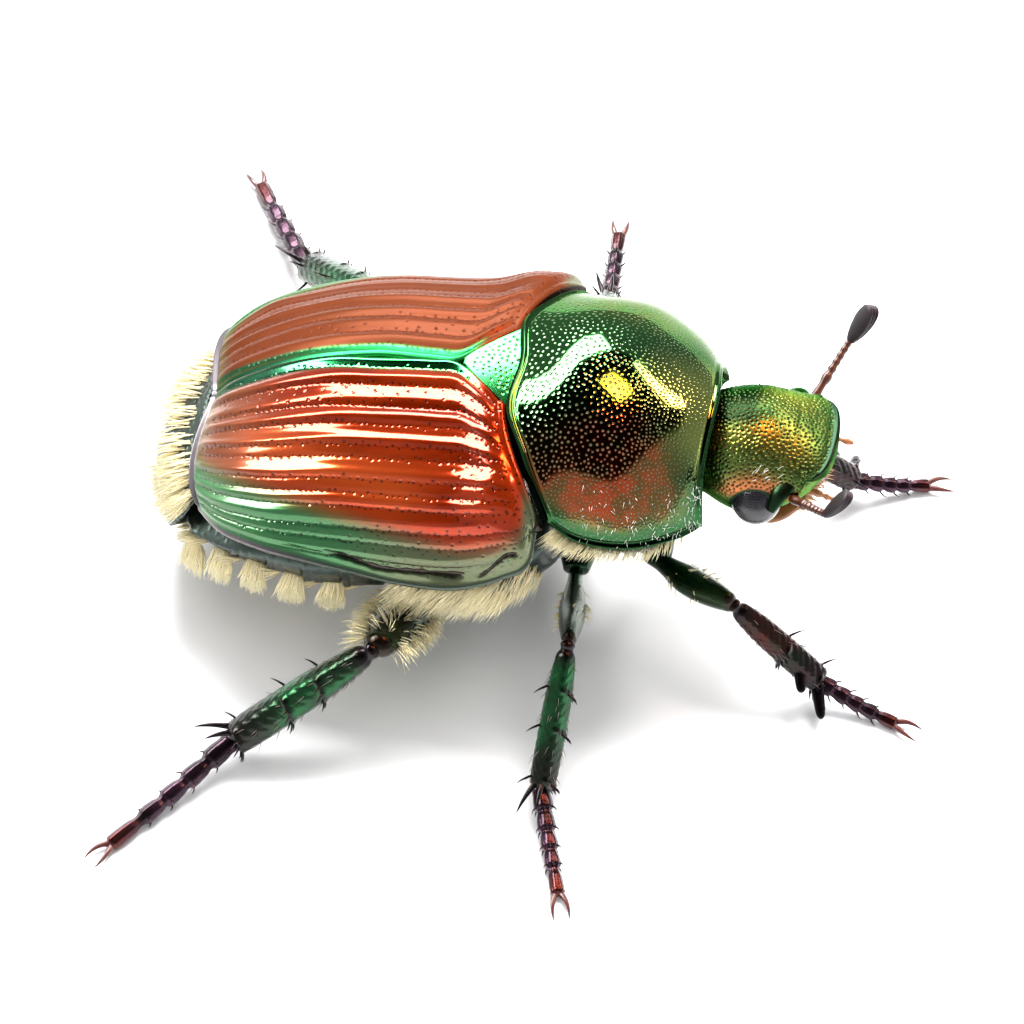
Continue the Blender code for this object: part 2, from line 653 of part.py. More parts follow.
def ball(centre, radius, rows=8, columns=12):
    """A closed ball about a centre."""
    centre = np.array(centre)
    rings = []
    for i in range(1, rows):
        turn = math.pi * i / rows
        level, round_radius = radius * math.cos(turn), radius * math.sin(turn)
        turns = [2 * math.pi * j / columns for j in range(columns)]
        steps = [(round_radius * math.cos(a), round_radius * math.sin(a), level) for a in turns]
        rings.append([centre + np.array(step) for step in steps])
    return loft(rings, centre + np.array([0, 0, radius]), centre - np.array([0, 0, radius]))


def build_head():
    sockets = [ball(mirrored(EYE_CENTRE, side), EYE_RADIUS + SMALL_GAP) for side in (1, -1)]
    mesh = joined("head", [loft([head_ring(values) for values in HEAD_RINGS])] + sockets, "DIFFERENCE")
    add_node("head", mesh, METALLIC_GREEN)
    mouth = loft([head_ring(values, sides=12) for values in MOUTH_RINGS])
    add_node("mouthparts", mesh_of(*mouth, "mouthparts"), RED_BROWN)


def build_eye(side_name, side):
    name = "eye_" + side_name
    add_node(name, mesh_of(*ball(mirrored(EYE_CENTRE, side), EYE_RADIUS), name), EYE_BLACK)


def straight(start, end):
    """A path from start to end with its middle named, for a limb that runs straight."""
    start, end = np.array(start, float), np.array(end, float)
    return ((0, *start), (0.5, *(start + end) / 2), (1, *end))


def build_antenna(side_name):
    base, bend, tip = (np.array(ends[side_name]) for ends in (ANTENNA_BASE, ANTENNA_BEND, CLUB_TIP))
    sizes = [(share, wide * STALK_RADIUS, wide * STALK_RADIUS) for share, wide in STALK_BEADS]
    stalk = limb(straight(base, bend), sizes, [i / 8 for i in range(9)], 8)
    name = f"antenna_{side_name}_stalk"
    add_node(name, mesh_of(*stalk, name), RED_BROWN)

    along = unit(tip - bend)
    start = bend + along * SMALL_GAP
    side = unit(np.cross((0, 0, 1), along))
    half_sizes = [(share, a * LEAF_HALF_WIDTH, b * LEAF_HALF_THICKNESS) for share, a, b in LEAF_OUTLINE]
    leaves = []
    for spread in LEAF_SPREAD:
        over = np.cross(along, side)
        path = straight(start, tip + over * spread)
        leaves.append(limb(path, half_sizes, (0, 0.2, 0.5, 0.8, 1), 6))
    name = f"antenna_{side_name}_club"
    add_node(name, joined(name, leaves), PURPLE_BLACK)


def build_palp(side_name, side):
    sizes = [(share, wide * PALP_RADIUS, wide * PALP_RADIUS) for share, wide in PALP_OUTLINE]
    path = straight(mirrored(PALP_ROOT, side), mirrored(PALP_TIP, side))
    body = limb(path, sizes, (0, 0.3, 0.6, 0.85, 1), 7)
    name = "palp_" + side_name
    add_node(name, mesh_of(*body, name), RED_BROWN)


# Legs


def build_femur(name, pair, root, knee):
    across, thick = FEMUR_HALF_SIZE[pair]
    middle = (root + knee) / 2 - np.array([0, 0, FEMUR_SAG[pair]])
    path = ((0, *root), (0.5, *middle), (1, *knee))
    sizes = (
        (0, 0.6 * across, 0.8 * thick), (0.14, 0.55 * across, 0.8 * thick), (0.5, across, thick),
        (0.82, 0.8 * across, 0.95 * thick), (1, 0.45 * across, 0.6 * thick),
    )
    body = limb(path, sizes, (0, 0.07, 0.14, 0.25, 0.38, 0.5, 0.62, 0.74, 0.88, 1), 9)
    add_node(name, mesh_of(*body, name), METALLIC_GREEN)


def build_tibia(name, pair, knee, ankle, side):
    thin, wide = TIBIA_RADIUS[pair]
    along = unit(ankle - knee)
    path = straight(knee + along * KNEE_ROOM, ankle)
    radii = ((0, thin * 0.85), (0.15, thin), (0.5, (thin + wide) / 2), (0.9, wide), (1, wide * 0.8))
    sizes = [(share, radius, radius) for share, radius in radii]
    pieces = [limb(path, sizes, (0, 0.1, 0.3, 0.5, 0.7, 0.9, 1), 10)]
    draw = random.Random(name)
    for share in SPINE_COMBS[pair]:
        for i in range(SPINES_IN_COMB):
            turn = 2 * math.pi * (i + 0.3) / SPINES_IN_COMB + draw.uniform(-0.2, 0.2)
            place, outward, forward = on_limb(path, sizes, share - COMB_SLANT * i, turn)
            tip = place + (outward * 0.75 + forward * 0.65) * SPINE_LENGTH * draw.uniform(0.85, 1.1)
            tip[2] = max(tip[2], FOOT_RISE)
            pieces.append(spine(place - outward * SPINE_ROOT_DEPTH, tip, SPINE_RADIUS))
    if pair == "front":
        for share, length in zip(TOOTH_SHARES, TOOTH_LENGTHS):
            turn = 0.0 if side > 0 else math.pi
            place, outward, forward = on_limb(path, sizes, share, turn)
            tip = place + (outward * 0.85 + forward * 0.6) * length
            tip[2] = max(tip[2], FOOT_RISE)
            pieces.append(spine(place - outward * SPINE_ROOT_DEPTH, tip, TOOTH_RADIUS, sides=6))
    else:
        for turn, length in SPURS:
            place, outward, forward = on_limb(path, sizes, 0.95, math.pi / 2 + side * turn)
            tip = place + (outward * 0.47 + forward * 0.85) * length
            pieces.append(spine(place - outward * SPINE_ROOT_DEPTH, tip, SPUR_RADIUS))
    add_node(name, joined(name, pieces), DARK_GREEN)


def build_tarsus(name, pair, ankle, foot, tibia_along):
    """Five beads and two claws, flattened where they rest on the floor."""
    thick, thin = TARSUS_RADIUS[pair]
    forward = unit(foot - ankle)
    level = unit(np.array([forward[0], forward[1], 0]))
    start = ankle + unit(forward + tibia_along) * ANKLE_ROOM
    end = foot - level * CLAW_LENGTH + np.array([0, 0, FOOT_RISE])
    middle = (start + end) / 2 - np.array([0, 0, TARSUS_SAG])
    path = ((0, *start), (0.5, *middle), (1, *end))
    sizes, stations = [], []
    for low, high in zip(TARSUS_SEGMENT_ENDS, TARSUS_SEGMENT_ENDS[1:]):
        for part, wide in ((0.06, 0.7), (0.7, 1.0), (0.97, 0.85)):
            share = low + (high - low) * part
            radius = wide * (thick + (thin - thick) * share)
            sizes.append((share, radius, radius))
            stations.append(share)
    pieces = [limb(path, sizes, stations, 6)]
    across = np.cross((0, 0, 1), level)
    for spread in (-1, 1):
        root = end - level * CLAW_RADIUS + across * spread * CLAW_RADIUS / 2
        tip = end + level * CLAW_LENGTH + across * spread * CLAW_SPREAD - np.array([0, 0, CLAW_DROP])
        pieces.append(spine(root, tip, CLAW_RADIUS, sides=5))
    draw = random.Random(name)
    for share in TARSUS_SEGMENT_ENDS[1:-1]:
        place, outward, ahead = on_limb(path, sizes, share - 0.02, math.pi * draw.choice((0.08, 0.92)))
        tip = place + (outward * 0.6 + ahead * 0.8) * BRISTLE_LENGTH * draw.uniform(0.9, 1.2)
        pieces.append(spine(place - outward * BRISTLE_RADIUS, tip, BRISTLE_RADIUS))
    mesh = joined(name, pieces)
    cut_at_floor(mesh)
    add_node(name, mesh, PURPLE_BLACK)


def build_leg(leg):
    pair, side_name = leg.split("_")
    side = 1 if side_name == "left" else -1
    root, knee, ankle, foot = (np.array(joint) for joint in LEG_JOINTS[leg])
    build_femur(f"leg_{leg}_femur", pair, root, knee)
    build_tibia(f"leg_{leg}_tibia", pair, knee, ankle, side)
    build_tarsus(f"leg_{leg}_tarsus", pair, ankle, foot, unit(ankle - knee))


def centre_on_floor():
    """Moves the root so that the origin is on the floor under the middle of the whole beetle."""
    nodes = [node for node in bpy.data.objects if node.type == "MESH"]
    corners = np.array([vertex.co for node in nodes for vertex in node.data.vertices])
    low, high = corners.min(axis=0), corners.max(axis=0)
    bpy.data.objects[ROOT].location = (-(low[0] + high[0]) / 2, -(low[1] + high[1]) / 2, -low[2])


def main():
    for old in list(bpy.data.objects):
        bpy.data.objects.remove(old)
    root = bpy.data.objects.new(ROOT, None)
    bpy.context.scene.collection.objects.link(root)
    build_pronotum()
    build_scutellum()
    build_thorax()
    build_abdomen()
    build_pygidium()
    build_head()
    for side_name, side in SIDES.items():
        build_wing_case(side_name, side)
        build_eye(side_name, side)
        build_antenna(side_name)
        build_palp(side_name, side)
    for leg in LEG_JOINTS:
        build_leg(leg)
    centre_on_floor()


main()
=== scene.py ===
"""The looks of a Japanese beetle, life size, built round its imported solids.

Lengths here are millimetres in the beetle's own frame: x = 0 at the middle of the pronotum's hind
margin with the head towards +x, y = 0 on the midline with the left side towards +y, z = 0 on the
floor. The right eye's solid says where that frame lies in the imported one.
"""

import math
from functools import partial
from types import SimpleNamespace

import bpy
import numpy as np
from mathutils import Matrix, Vector
from mathutils.kdtree import KDTree


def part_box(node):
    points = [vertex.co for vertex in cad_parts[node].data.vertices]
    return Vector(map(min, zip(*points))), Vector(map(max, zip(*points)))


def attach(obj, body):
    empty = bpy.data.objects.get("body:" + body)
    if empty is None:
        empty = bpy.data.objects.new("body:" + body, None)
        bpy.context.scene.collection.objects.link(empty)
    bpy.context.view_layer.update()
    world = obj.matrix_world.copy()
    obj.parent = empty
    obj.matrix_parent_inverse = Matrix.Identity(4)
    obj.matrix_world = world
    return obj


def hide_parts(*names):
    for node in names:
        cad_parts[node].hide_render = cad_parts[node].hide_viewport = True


MM = 0.001
SIDES = {"right": -1, "left": 1}

# Prothorax: tracks run from its hind margin (share 0) to its front margin (share 1)
PRONOTUM_CROWN = (
    (0, 0.0, 0, 5.42), (0.3, 0.95, 0, 5.73), (0.55, 1.8, 0, 5.66), (0.8, 2.65, 0, 5.34),
    (1, 3.21, 0, 5.04),
)
PRONOTUM_EDGE = (
    (0, 0.8, 2.38, 4.28), (0.22, 1.25, 2.44, 3.99), (0.5, 2.05, 2.43, 3.92), (0.8, 2.84, 2.0, 3.8),
    (1, 3.18, 1.58, 3.64),
)
PRONOTUM_FALL = ((0, 1.1), (0.5, 1.24), (0.8, 1.4), (1, 1.25))
HIND_LOBE = 0.12
FRONT_BAY = 0.06
PROTHORAX_KEEL = (
    (0, 1.0, 0, 2.45), (0.3, 1.4, 0, 2.25), (0.6, 2.3, 0, 2.25), (0.85, 2.72, 0, 2.7), (1, 2.86, 0, 3.2),
)
KEEL_TUCK = 1.7
PROTHORAX_MIDDLE = (1.6, 0, 4.1)
# The turned-in ends: the radius of their rounding, and the x and size of the ring inside
HIND_OPENING = (0.04, 1.25, 0.8)
COLLAR = (0.03, 2.5, 0.82)
HEAD_FRONT = (0.03, 5.02, 0.55)
PRONOTUM_PIT_SPACING = (0.088, 0.056)
PRONOTUM_PIT = (0.34, 0.078)
MARGIN_BEAD = 0.04

# Rims of the plates: the radius of their rounding and how deep they go down inside
WING_CASE_RIM = (0.04, 0.22)
SCUTELLUM_RIM = (0.03, 0.25)
PYGIDIUM_RIM = (0.05, 0.3)
RIM_STEPS = 4

# Wing case: tracks run from its front edge (share 0) to its tip edge (share 1)
SUTURE = (
    (0, -0.25, 0.96, 5.22), (0.1, -0.62, 0.6, 5.25), (0.19, -1.1, 0.18, 5.2), (0.26, -1.5, 0.1, 5.17),
    (0.45, -2.5, 0.1, 5.07), (0.63, -3.4, 0.1, 4.85), (0.8, -4.25, 0.1, 4.4), (0.92, -4.85, 0.1, 3.93),
    (1, -5.13, 0.1, 3.55),
)
WING_CASE_EDGE = (
    (0, 0.6, 2.6, 4.22), (0.05, 0.55, 2.95, 3.85), (0.12, 0.15, 3.02, 3.5), (0.22, -0.55, 3.05, 3.14),
    (0.36, -1.5, 3.03, 3.05), (0.5, -2.3, 3.0, 3.15), (0.65, -3.1, 2.92, 3.2), (0.8, -3.95, 2.72, 3.15),
    (0.92, -4.6, 2.36, 3.03), (1, -4.95, 1.96, 2.97),
)
WING_CASE_FALL = ((0, 1.2), (0.08, 0.92), (0.2, 0.9), (0.4, 0.98), (0.65, 1.18), (0.8, 1.3), (1, 1.2))
WING_CASE_LEAN = ((0, 1.5), (0.2, 1.0), (1, 1.0))
SUTURE_CLOSING = ((0, 0.2), (0.1, 0.2), (0.19, 0.162), (0.26, 0.086), (0.6, 0.086), (1, 0.086))
TIP_EDGE_BULGE = 0.26
WING_CASE_MIDDLE = (-2.2, 1.2, 3.0)
WING_CASE_INSIDE = (-2.2, 1.2, 3.7)
STRIAE = (0.04, 0.112, 0.2, 0.268, 0.352, 0.403, 0.49, 0.55, 0.61, 0.71, 0.78, 0.885)
RIDGE_LINES = (
    (0.083, 1.0), (0.17, 0.6), (0.24, 1.0), (0.335, 1.1), (0.465, 0.8), (0.58, 0.5), (0.66, 0.6),
    (0.835, 0.5),
)
RIDGE_HEIGHT = {"right": 0.05, "left": 0.034}
RIDGE_WIDTH = 0.025
WING_CASE_SWELLINGS = ((0.1, (-0.25, 0.5), (2.35, 0.38)), (0.06, (-4.35, 0.4), (1.75, 0.4)))
WING_CASE_GROOVE = 0.045
# Per side: coat weight, specular level and the colour of the duller parts; the far (left) case is a darker
# copy with less shine: painted shade.
WING_CASE_SHINE_AND_PAINTED_SHADE = {"right": (0.35, 0.5, (0.12, 0.034, 0.009)), "left": (0.0, 0.1, (0.085, 0.021, 0.005))}
FRONT_LIP = 0.016
STRIA_REACH = (0.03, 0.97)
STRIA_SHARE = 0.35
STRIA_WIDTH = 0.013
STRIA_PIT_SPACING = 0.104
STRIA_JITTER = 0.006
STRIA_PIT = (0.03, 0.009)
SECOND_INTERVAL = 0.158

# Scutellum
SCUTELLUM_BASE = (-0.23, 0.72, 5.27)
SCUTELLUM_TIP_X = -0.96
SCUTELLUM_BOW = 1.15
SCUTELLUM_BARE_X = -0.78
SCUTELLUM_MIDDLE = (-0.5, 0, 4.7)
SCUTELLUM_INSIDE = (-0.5, 0, 4.9)
SCUTELLUM_PIT = (0.028, 0.012)

# Trunk rings: share, x, half width, side height, top height, bottom height, slant
THORAX_RINGS = (
    (0, 0.95, 1.9, 2.85, 4.2, 1.75, -0.2), (0.15, 0.3, 2.45, 2.65, 4.3, 1.5, -0.1),
    (0.45, -0.35, 2.66, 2.55, 4.4, 1.38, 0), (0.75, -1.1, 2.7, 2.5, 4.4, 1.35, 0),
    (1, -1.6, 2.66, 2.5, 4.38, 1.42, 0),
)
ABDOMEN_RINGS = (
    (0, -1.85, 2.62, 2.5, 4.36, 1.5, 0), (0.3, -2.85, 2.72, 2.5, 4.2, 1.42, 0),
    (0.6, -3.85, 2.5, 2.46, 3.8, 1.4, 0.1), (0.85, -4.75, 2.12, 2.3, 3.05, 1.42, 0.35),
    (1, -5.25, 1.72, 2.15, 2.6, 1.55, 0.5),
)
SLANT_LEVEL = 2.0
LEDGE_REACH = 0.26
BELLY_ROUNDNESS = 1.3
SEGMENTS_OF_BELLY = 5
TRUNK_PIT = (0.045, 0.016)

# Pygidium: tracks run down from its upper edge
PYGIDIUM_CROWN = ((0, -5.3, 0, 3.2), (0.35, -5.78, 0, 2.8), (0.7, -6.1, 0, 2.1), (1, -6.04, 0, 1.3))
PYGIDIUM_EDGE = (
    (0, -5.1, 1.6, 2.85), (0.35, -5.36, 1.68, 2.4), (0.7, -5.68, 1.4, 1.8), (1, -5.86, 0.55, 1.28),
)
PYGIDIUM_MIDDLE = (-4.6, 0, 2.2)
PYGIDIUM_PIT = (0.04, 0.016)

# Head rings: x, half width, crown height, side height, throat height
HEAD_RINGS = (
    (0, 2.75, 0.74, 4.58, 3.86, 3.4), (0.1, 3.08, 0.88, 4.71, 3.86, 3.3), (0.2, 3.36, 1.0, 4.8, 3.86, 3.1),
    (0.3, 3.6, 1.08, 4.85, 3.84, 3.0), (0.45, 3.95, 1.12, 4.87, 3.84, 2.96),
    (0.6, 4.3, 1.06, 4.81, 3.94, 3.12), (0.72, 4.6, 1.03, 4.7, 4.04, 3.44),
    (0.83, 4.85, 1.02, 4.59, 4.14, 3.72), (0.93, 5.05, 0.98, 4.5, 4.22, 3.96),
    (1, 5.18, 0.89, 4.43, 4.28, 4.12),
)
HEAD_BOW = ((3.08, 0.0), (4.5, 0.0), (4.85, 0.06), (5.05, 0.13), (5.18, 0.16))
HEAD_CORNER = ((4.7, 0.0), (5.0, 0.12), (5.18, 0.26))
HEAD_PIT_SPACING = 0.058
HEAD_PIT = (0.028, 0.016)
EYE_CENTRE = (4.0, 0.93, 3.73)
EYE_RADIUS = 0.41
EYE_FACET = 0.032
CANTHUS = ((4.5, 0.88, 4.2), (4.27, 1.3, 3.9))
CANTHUS_SIZES = ((0, 0.18, 0.1), (0.5, 0.15, 0.08), (1, 0.07, 0.04))
MOUTH_RINGS = (
    (0, 3.95, 0.5, 2.82, 2.66, 2.5), (0.3, 4.25, 0.56, 2.92, 2.74, 2.55), (0.6, 4.55, 0.56, 3.22, 3.0, 2.78),
    (0.85, 4.85, 0.5, 3.55, 3.34, 3.14), (1, 5.02, 0.36, 3.76, 3.56, 3.4),
)
JAW = ((4.7, 0.4, 3.75), (5.1, 0.1, 3.92))
JAW_OUTLINE = ((0, 1), (0.6, 0.9), (1, 0.4))
JAW_RADIUS = 0.15
LIP = ((4.7, 0, 4.05), (5.14, 0, 3.98))
LIP_SIZES = ((0, 0.55, 0.16), (0.6, 0.5, 0.12), (1, 0.3, 0.06))
PALP_ROOT = (5.0, 0.6, 3.72)
PALP_TIP = (5.4, 0.64, 3.54)
PALP_RADIUS = 0.06
PALP_OUTLINE = ((0, 0.7), (0.3, 0.95), (0.38, 0.6), (0.5, 0.9), (0.58, 0.6), (0.8, 0.95), (1, 0.45))

# Feelers
ANTENNA_BASE = (4.7, 1.16, 4.08)
ANTENNA_BEND = {"right": (5.16, -1.62, 4.36), "left": (5.08, 1.98, 4.42)}
CLUB_TIP = {"right": (5.6, -1.6, 4.98), "left": (5.46, 2.3, 5.08)}
LEAF_SPREAD = {"right": 0.05, "left": 0.08}
LEAF_SIZES = ((0, 0.05, 0.035), (0.2, 0.12, 0.05), (0.5, 0.17, 0.058), (0.8, 0.155, 0.052), (1, 0.09, 0.035))
STALK_RADIUS = 0.078
STALK_BEADS = (
    (0, 0.8), (0.12, 1.0), (0.3, 0.85), (0.44, 1.1), (0.5, 0.78), (0.55, 0.96), (0.61, 0.74), (0.66, 0.9),
    (0.71, 0.72), (0.76, 0.88), (0.81, 0.7), (0.86, 0.86), (0.91, 0.7), (0.96, 0.82), (1, 0.6),
)

# Legs: the joints of each chain, from its root to the tips of its claws
LEG_JOINTS = {
    "hind_right": ((-1.35, -0.95, 1.0), (-1.78, -3.76, 2.26), (-4.03, -4.7, 0.52), (-5.99, -7.18, 0.0)),
    "hind_left": ((-1.35, 0.95, 1.0), (-2.85, 3.7, 2.05), (-4.5, 5.35, 0.72), (-5.95, 7.95, 0.0)),
    "mid_right": ((1.05, -0.85, 1.4), (1.27, -3.15, 2.28), (1.09, -4.84, 0.47), (1.78, -7.1, 0.0)),
    "mid_left": ((0.8, 0.85, 1.1), (0.72, 3.5, 2.2), (0.62, 5.5, 0.6), (0.5, 7.85, 0.0)),
    "front_right": ((2.2, -0.72, 1.75), (3.75, -1.83, 2.1), (5.26, -1.95, 0.5), (7.02, -2.48, 0.0)),
    "front_left": ((2.2, 0.72, 1.75), (3.76, 1.8, 2.1), (5.26, 2.34, 0.52), (6.9, 2.88, 0.0)),
}
FEMUR_SAG = {"hind": 0.2, "mid": 0.18, "front": 0.08}
FEMUR_HALF_SIZE = {"hind": (0.44, 0.27), "mid": (0.21, 0.21), "front": (0.25, 0.24)}
TIBIA_RADIUS = {"hind": (0.21, 0.32), "mid": (0.17, 0.24), "front": (0.17, 0.25)}
TARSUS_RADIUS = {"hind": (0.2, 0.13), "mid": (0.17, 0.12), "front": (0.16, 0.11)}
TARSUS_SEGMENT_ENDS = (0.0, 0.2, 0.38, 0.55, 0.72, 1.0)
FEMUR_OUTLINE = ((0, 0.6, 0.8), (0.14, 0.55, 0.8), (0.5, 1, 1), (0.82, 0.8, 0.95), (1, 0.5, 0.7))
TIBIA_OUTLINE = ((0, 0.7), (0.08, 0.85), (0.15, 0.95), (0.35, 1.1), (0.65, 1.05), (0.92, 0.93), (1, 0.85))
TARSUS_SWELL = ((0.04, 0.74), (0.35, 0.88), (0.8, 1.0), (0.93, 0.97))
HIP_SIZES = ((0, 0.36, 0.3), (0.6, 0.31, 0.27), (1, 0.2, 0.19))
ANKLE_ROOM = 0.1
CLAW_LENGTH = 0.42
FOOT_RISE = 0.1
SPURS = ((-0.56, 0.62), (0.1, 0.45))
SPINE_COMBS = {"hind": (0.4, 0.62, 0.96), "mid": (0.36, 0.62, 0.96), "front": (0.6, 0.96)}
SPINES_IN_COMB = 7
COMB_SLANT = 0.035
BRISTLES_ROUND_TARSUS = 5
TEETH = ((0.97, 0.5), (0.78, 0.3))
TOOTH_SIZES = ((0, 0.13, 0.11), (0.4, 0.1, 0.075), (0.75, 0.085, 0.06), (1, 0.06, 0.04))

# Leg looks: the material's name, its colour, a second colour in patches and the tint of its end
LEG_LOOKS = {
    "femur": ("femur_green", (0.006, 0.035, 0.012), (0.014, 0.03, 0.01), (0.02, 0.012, 0.008)),
    "tibia": ("tibia_dark_green", (0.012, 0.08, 0.026), (0.014, 0.035, 0.016), (0.014, 0.009, 0.01)),
    "front_tibia": ("tibia_red_brown", (0.035, 0.007, 0.005), (0.008, 0.012, 0.007), (0.012, 0.008, 0.01)),
    "tarsus": ("tarsus_purple_black", (0.018, 0.01, 0.014), (0.04, 0.018, 0.03), (0.06, 0.014, 0.013)),
}

# Hair
SIDE_TUFTS = ((-2.67, 2.42), (-3.35, 2.36), (-4.01, 2.3), (-4.62, 2.12), (-5.14, 1.8))
PYGIDIUM_TUFT = (0.36, 0.5)
TUFT_LENGTHS = (0.3, 0.44)
TUFT_HAIR = 0.016
HAIRS_IN_TUFT = 400
HAIRS_IN_PYGIDIUM_TUFT = 480
LOOSE_PYGIDIUM_HAIRS = 420
THORAX_HAIRS = 1100
PROTHORAX_HAIRS = 380
FRINGE_BEND = (-0.2, 0.0, -0.18)
BELLY_HAIRS = 2600
HIND_FEMUR_HAIRS = 420
FEMUR_HAIRS = 40
TIBIA_HAIRS = 60
PROTHORAX_SETAE = 300
HEAD_SETAE = 30
MOUTH_HAIRS = 260
HAIR_OUTLINE = ((-0.06, 1.0), (0.25, 0.95), (0.6, 0.7))
HAIR_PATCH = 0.0015

# Rows and columns of the grids of points
GRIDS = {
    "pronotum": (320, 600), "wing_case": (400, 276), "scutellum": (90, 121), "pygidium": (120, 170),
    "mouth": (60, 90), "eye": (48, 72), "canthus": (50, 40), "jaw": (30, 28), "lip": (30, 40),
    "palp": (60, 20), "stalk": (110, 24), "leaf": (60, 32), "hip": (50, 40), "femur": (90, 48),
    "tibia": (150, 56), "tarsus": (190, 32), "tooth": (24, 20),
}
UNDERSIDE_COLUMNS = 60
TRUNK_COLUMNS = 210
HEAD_ROWS = 190
HEAD_COLUMNS = (280, 80)

# Camera, as it stood for the photograph: millimetres, degrees and pixels
CAMERA_TARGET = (-1.0, 0.0, 5.25)
CAMERA_TURN = 9
CAMERA_RISE = 51
CAMERA_DISTANCE = 150
PIXELS_PER_MM = 61.6
FRAME_PIXELS = 1024
TARGET_PIXEL = (461, 359)
SENSOR_MM = 36


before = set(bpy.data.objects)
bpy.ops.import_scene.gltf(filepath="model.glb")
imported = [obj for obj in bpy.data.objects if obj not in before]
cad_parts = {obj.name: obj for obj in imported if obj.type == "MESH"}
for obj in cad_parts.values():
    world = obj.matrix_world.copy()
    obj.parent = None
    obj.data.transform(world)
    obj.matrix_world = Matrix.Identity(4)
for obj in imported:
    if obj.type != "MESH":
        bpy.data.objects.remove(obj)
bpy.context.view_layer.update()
eye_low, eye_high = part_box("eye_right")
SHIFT = np.array([(a + b) / 2 / MM for a, b in zip(eye_low, eye_high)]) - np.array(EYE_CENTRE) * (1, -1, 1)


# Shapes of numbers: every share, turn and point below is an array, one entry or row for each point


def track(keys, share):
    """Values at shares of the way along keys of (share, value, ...), smooth through every key."""
    keys = np.array(keys, float)
    shares, values = keys[:, 0], keys[:, 1:]
    slopes = np.gradient(values, shares, axis=0)
    share = np.atleast_1d(np.asarray(share, float))
    i = np.clip(np.searchsorted(shares, share) - 1, 0, len(keys) - 2)
    span = (shares[i + 1] - shares[i])[:, None]
    t = (share - shares[i])[:, None] / span
    return (
        (2 * t**3 - 3 * t**2 + 1) * values[i]
        + (t**3 - 2 * t**2 + t) * span * slopes[i]
        + (3 * t**2 - 2 * t**3) * values[i + 1]
        + (t**3 - t**2) * span * slopes[i + 1]
    )


def unit(vectors):
    return vectors / np.maximum(np.linalg.norm(vectors, axis=-1, keepdims=True), 1e-9)


def smooth(t):
    """0 up to t = 0, 1 from t = 1 on, and a smooth rise between them."""
    t = np.clip(t, 0, 1)
    return t * t * (3 - 2 * t)


def step_between(low, high, value):
    """0 below low, 1 above high, and a smooth rise between them; high may be the lower one."""
    return smooth((value - low) / (high - low))


def bell(value, width):
    return np.exp(-((value / width) ** 2))


def arch(crown, edge, turn, lean, fall=1.0):
    """Points of the arches from crown (turn 0) down to edge (turn 1)."""
    s = np.sin(turn * np.pi / 2)
    c = np.cos(turn * np.pi / 2).clip(0)
    return np.stack([
        crown[:, 0] + (edge[:, 0] - crown[:, 0]) * s**lean,
        crown[:, 1] + (edge[:, 1] - crown[:, 1]) * s,
        edge[:, 2] + (crown[:, 2] - edge[:, 2]) * c**fall,
    ], axis=1)


def sheet_points(surface, u, v):
    """The points of a surface over every pair of the shares u and v, as rows by columns by 3."""
    rows, columns = np.meshgrid(u, v, indexing="ij")
    return surface(rows.ravel(), columns.ravel()).reshape(len(u), len(v), 3)


def outward_normals(points, middle):
    """Unit normals of a grid of points, on the side away from a middle point."""
    normals = unit(np.cross(np.gradient(points, axis=0), np.gradient(points, axis=1)))
    return normals * np.sign((normals * (points - np.array(middle))).sum())


def along_rows(points):
    """The length from a row's first point to each of its points, for every row of a grid."""
    steps = np.linalg.norm(np.diff(points, axis=1), axis=2)
    return np.concatenate([np.zeros((len(points), 1)), np.cumsum(steps, axis=1)], axis=1)


def from_edges(points):
    """The lengths over a grid from its first and last columns, and from its first and last rows."""
    across, down = along_rows(points), along_rows(points.transpose(1, 0, 2)).T
    return across, across[:, -1:] - across, down, down[-1:] - down


def way_along(line):
    """The length from a line's first point to each of its points."""
    return along_rows(line[None])[0]


def mirrored(place, side):
    """A place given for the left side (1), on that side or on the right one (-1)."""
    return np.array(place, float) * (1, side, 1)


def even_shares(surface, fixed, count, axis, low=0.0):
    """Shares from low to 1 that cut the surface into even lengths along u (axis 0) or v (axis 1)."""
    fine = np.linspace(low, 1, 400)
    other = np.full(400, fixed)
    length = way_along(surface(fine, other) if axis == 0 else surface(other, fine))
    return np.interp(np.linspace(0, length[-1], count), length, fine)


def scattered(points, spacing, seed):
    """Some of the points, picked in a seeded order, none nearer to another than its own spacing."""
    points = points.reshape(-1, 3)
    spacing = np.broadcast_to(np.ravel(spacing), len(points))
    cell = spacing.max()
    cells, kept = {}, []
    for i in np.random.default_rng(seed).permutation(len(points)):
        x, y, z = points[i].tolist()
        a, b, c = (int(place // cell) for place in (x, y, z))
        near = (
            other for da in (-1, 0, 1) for db in (-1, 0, 1) for dc in (-1, 0, 1)
            for other in cells.get((a + da, b + db, c + dc), ())
        )
        room = spacing[i] ** 2
        if all((x - p) ** 2 + (y - q) ** 2 + (z - r) ** 2 >= room for p, q, r in near):
            cells.setdefault((a, b, c), []).append((x, y, z))
            kept.append(i)
    return points[kept]


def nearest(points, seeds):
    """The distance from each point of a grid to the nearest seed, and that seed's number."""
    tree = KDTree(len(seeds))
    for i, seed in enumerate(seeds):
        tree.insert(Vector(seed), i)
    tree.balance()
    found = [tree.find(point)[1:] for point in points.reshape(-1, 3).tolist()]
    number, distance = zip(*found)
    return np.array(distance).reshape(points.shape[:-1]), np.array(number).reshape(points.shape[:-1])


def pits(points, seeds, radius, depth, seed=3):
    """How deep a grid's points lie in round pits about the seeds, each pit of its own size.

    The radius and depth are one number each, or one for each seed.
    """
    distance, number = nearest(points, seeds)
    size = np.random.default_rng(seed).uniform(0.75, 1.15, len(seeds))[number]
    radius, depth = (np.broadcast_to(value, len(seeds))[number] for value in (radius, depth))
    inside = np.clip(1 - (distance / (radius * size)) ** 2, 0, 1)
    return -depth * size * inside**1.5, inside


# Meshes and pieces


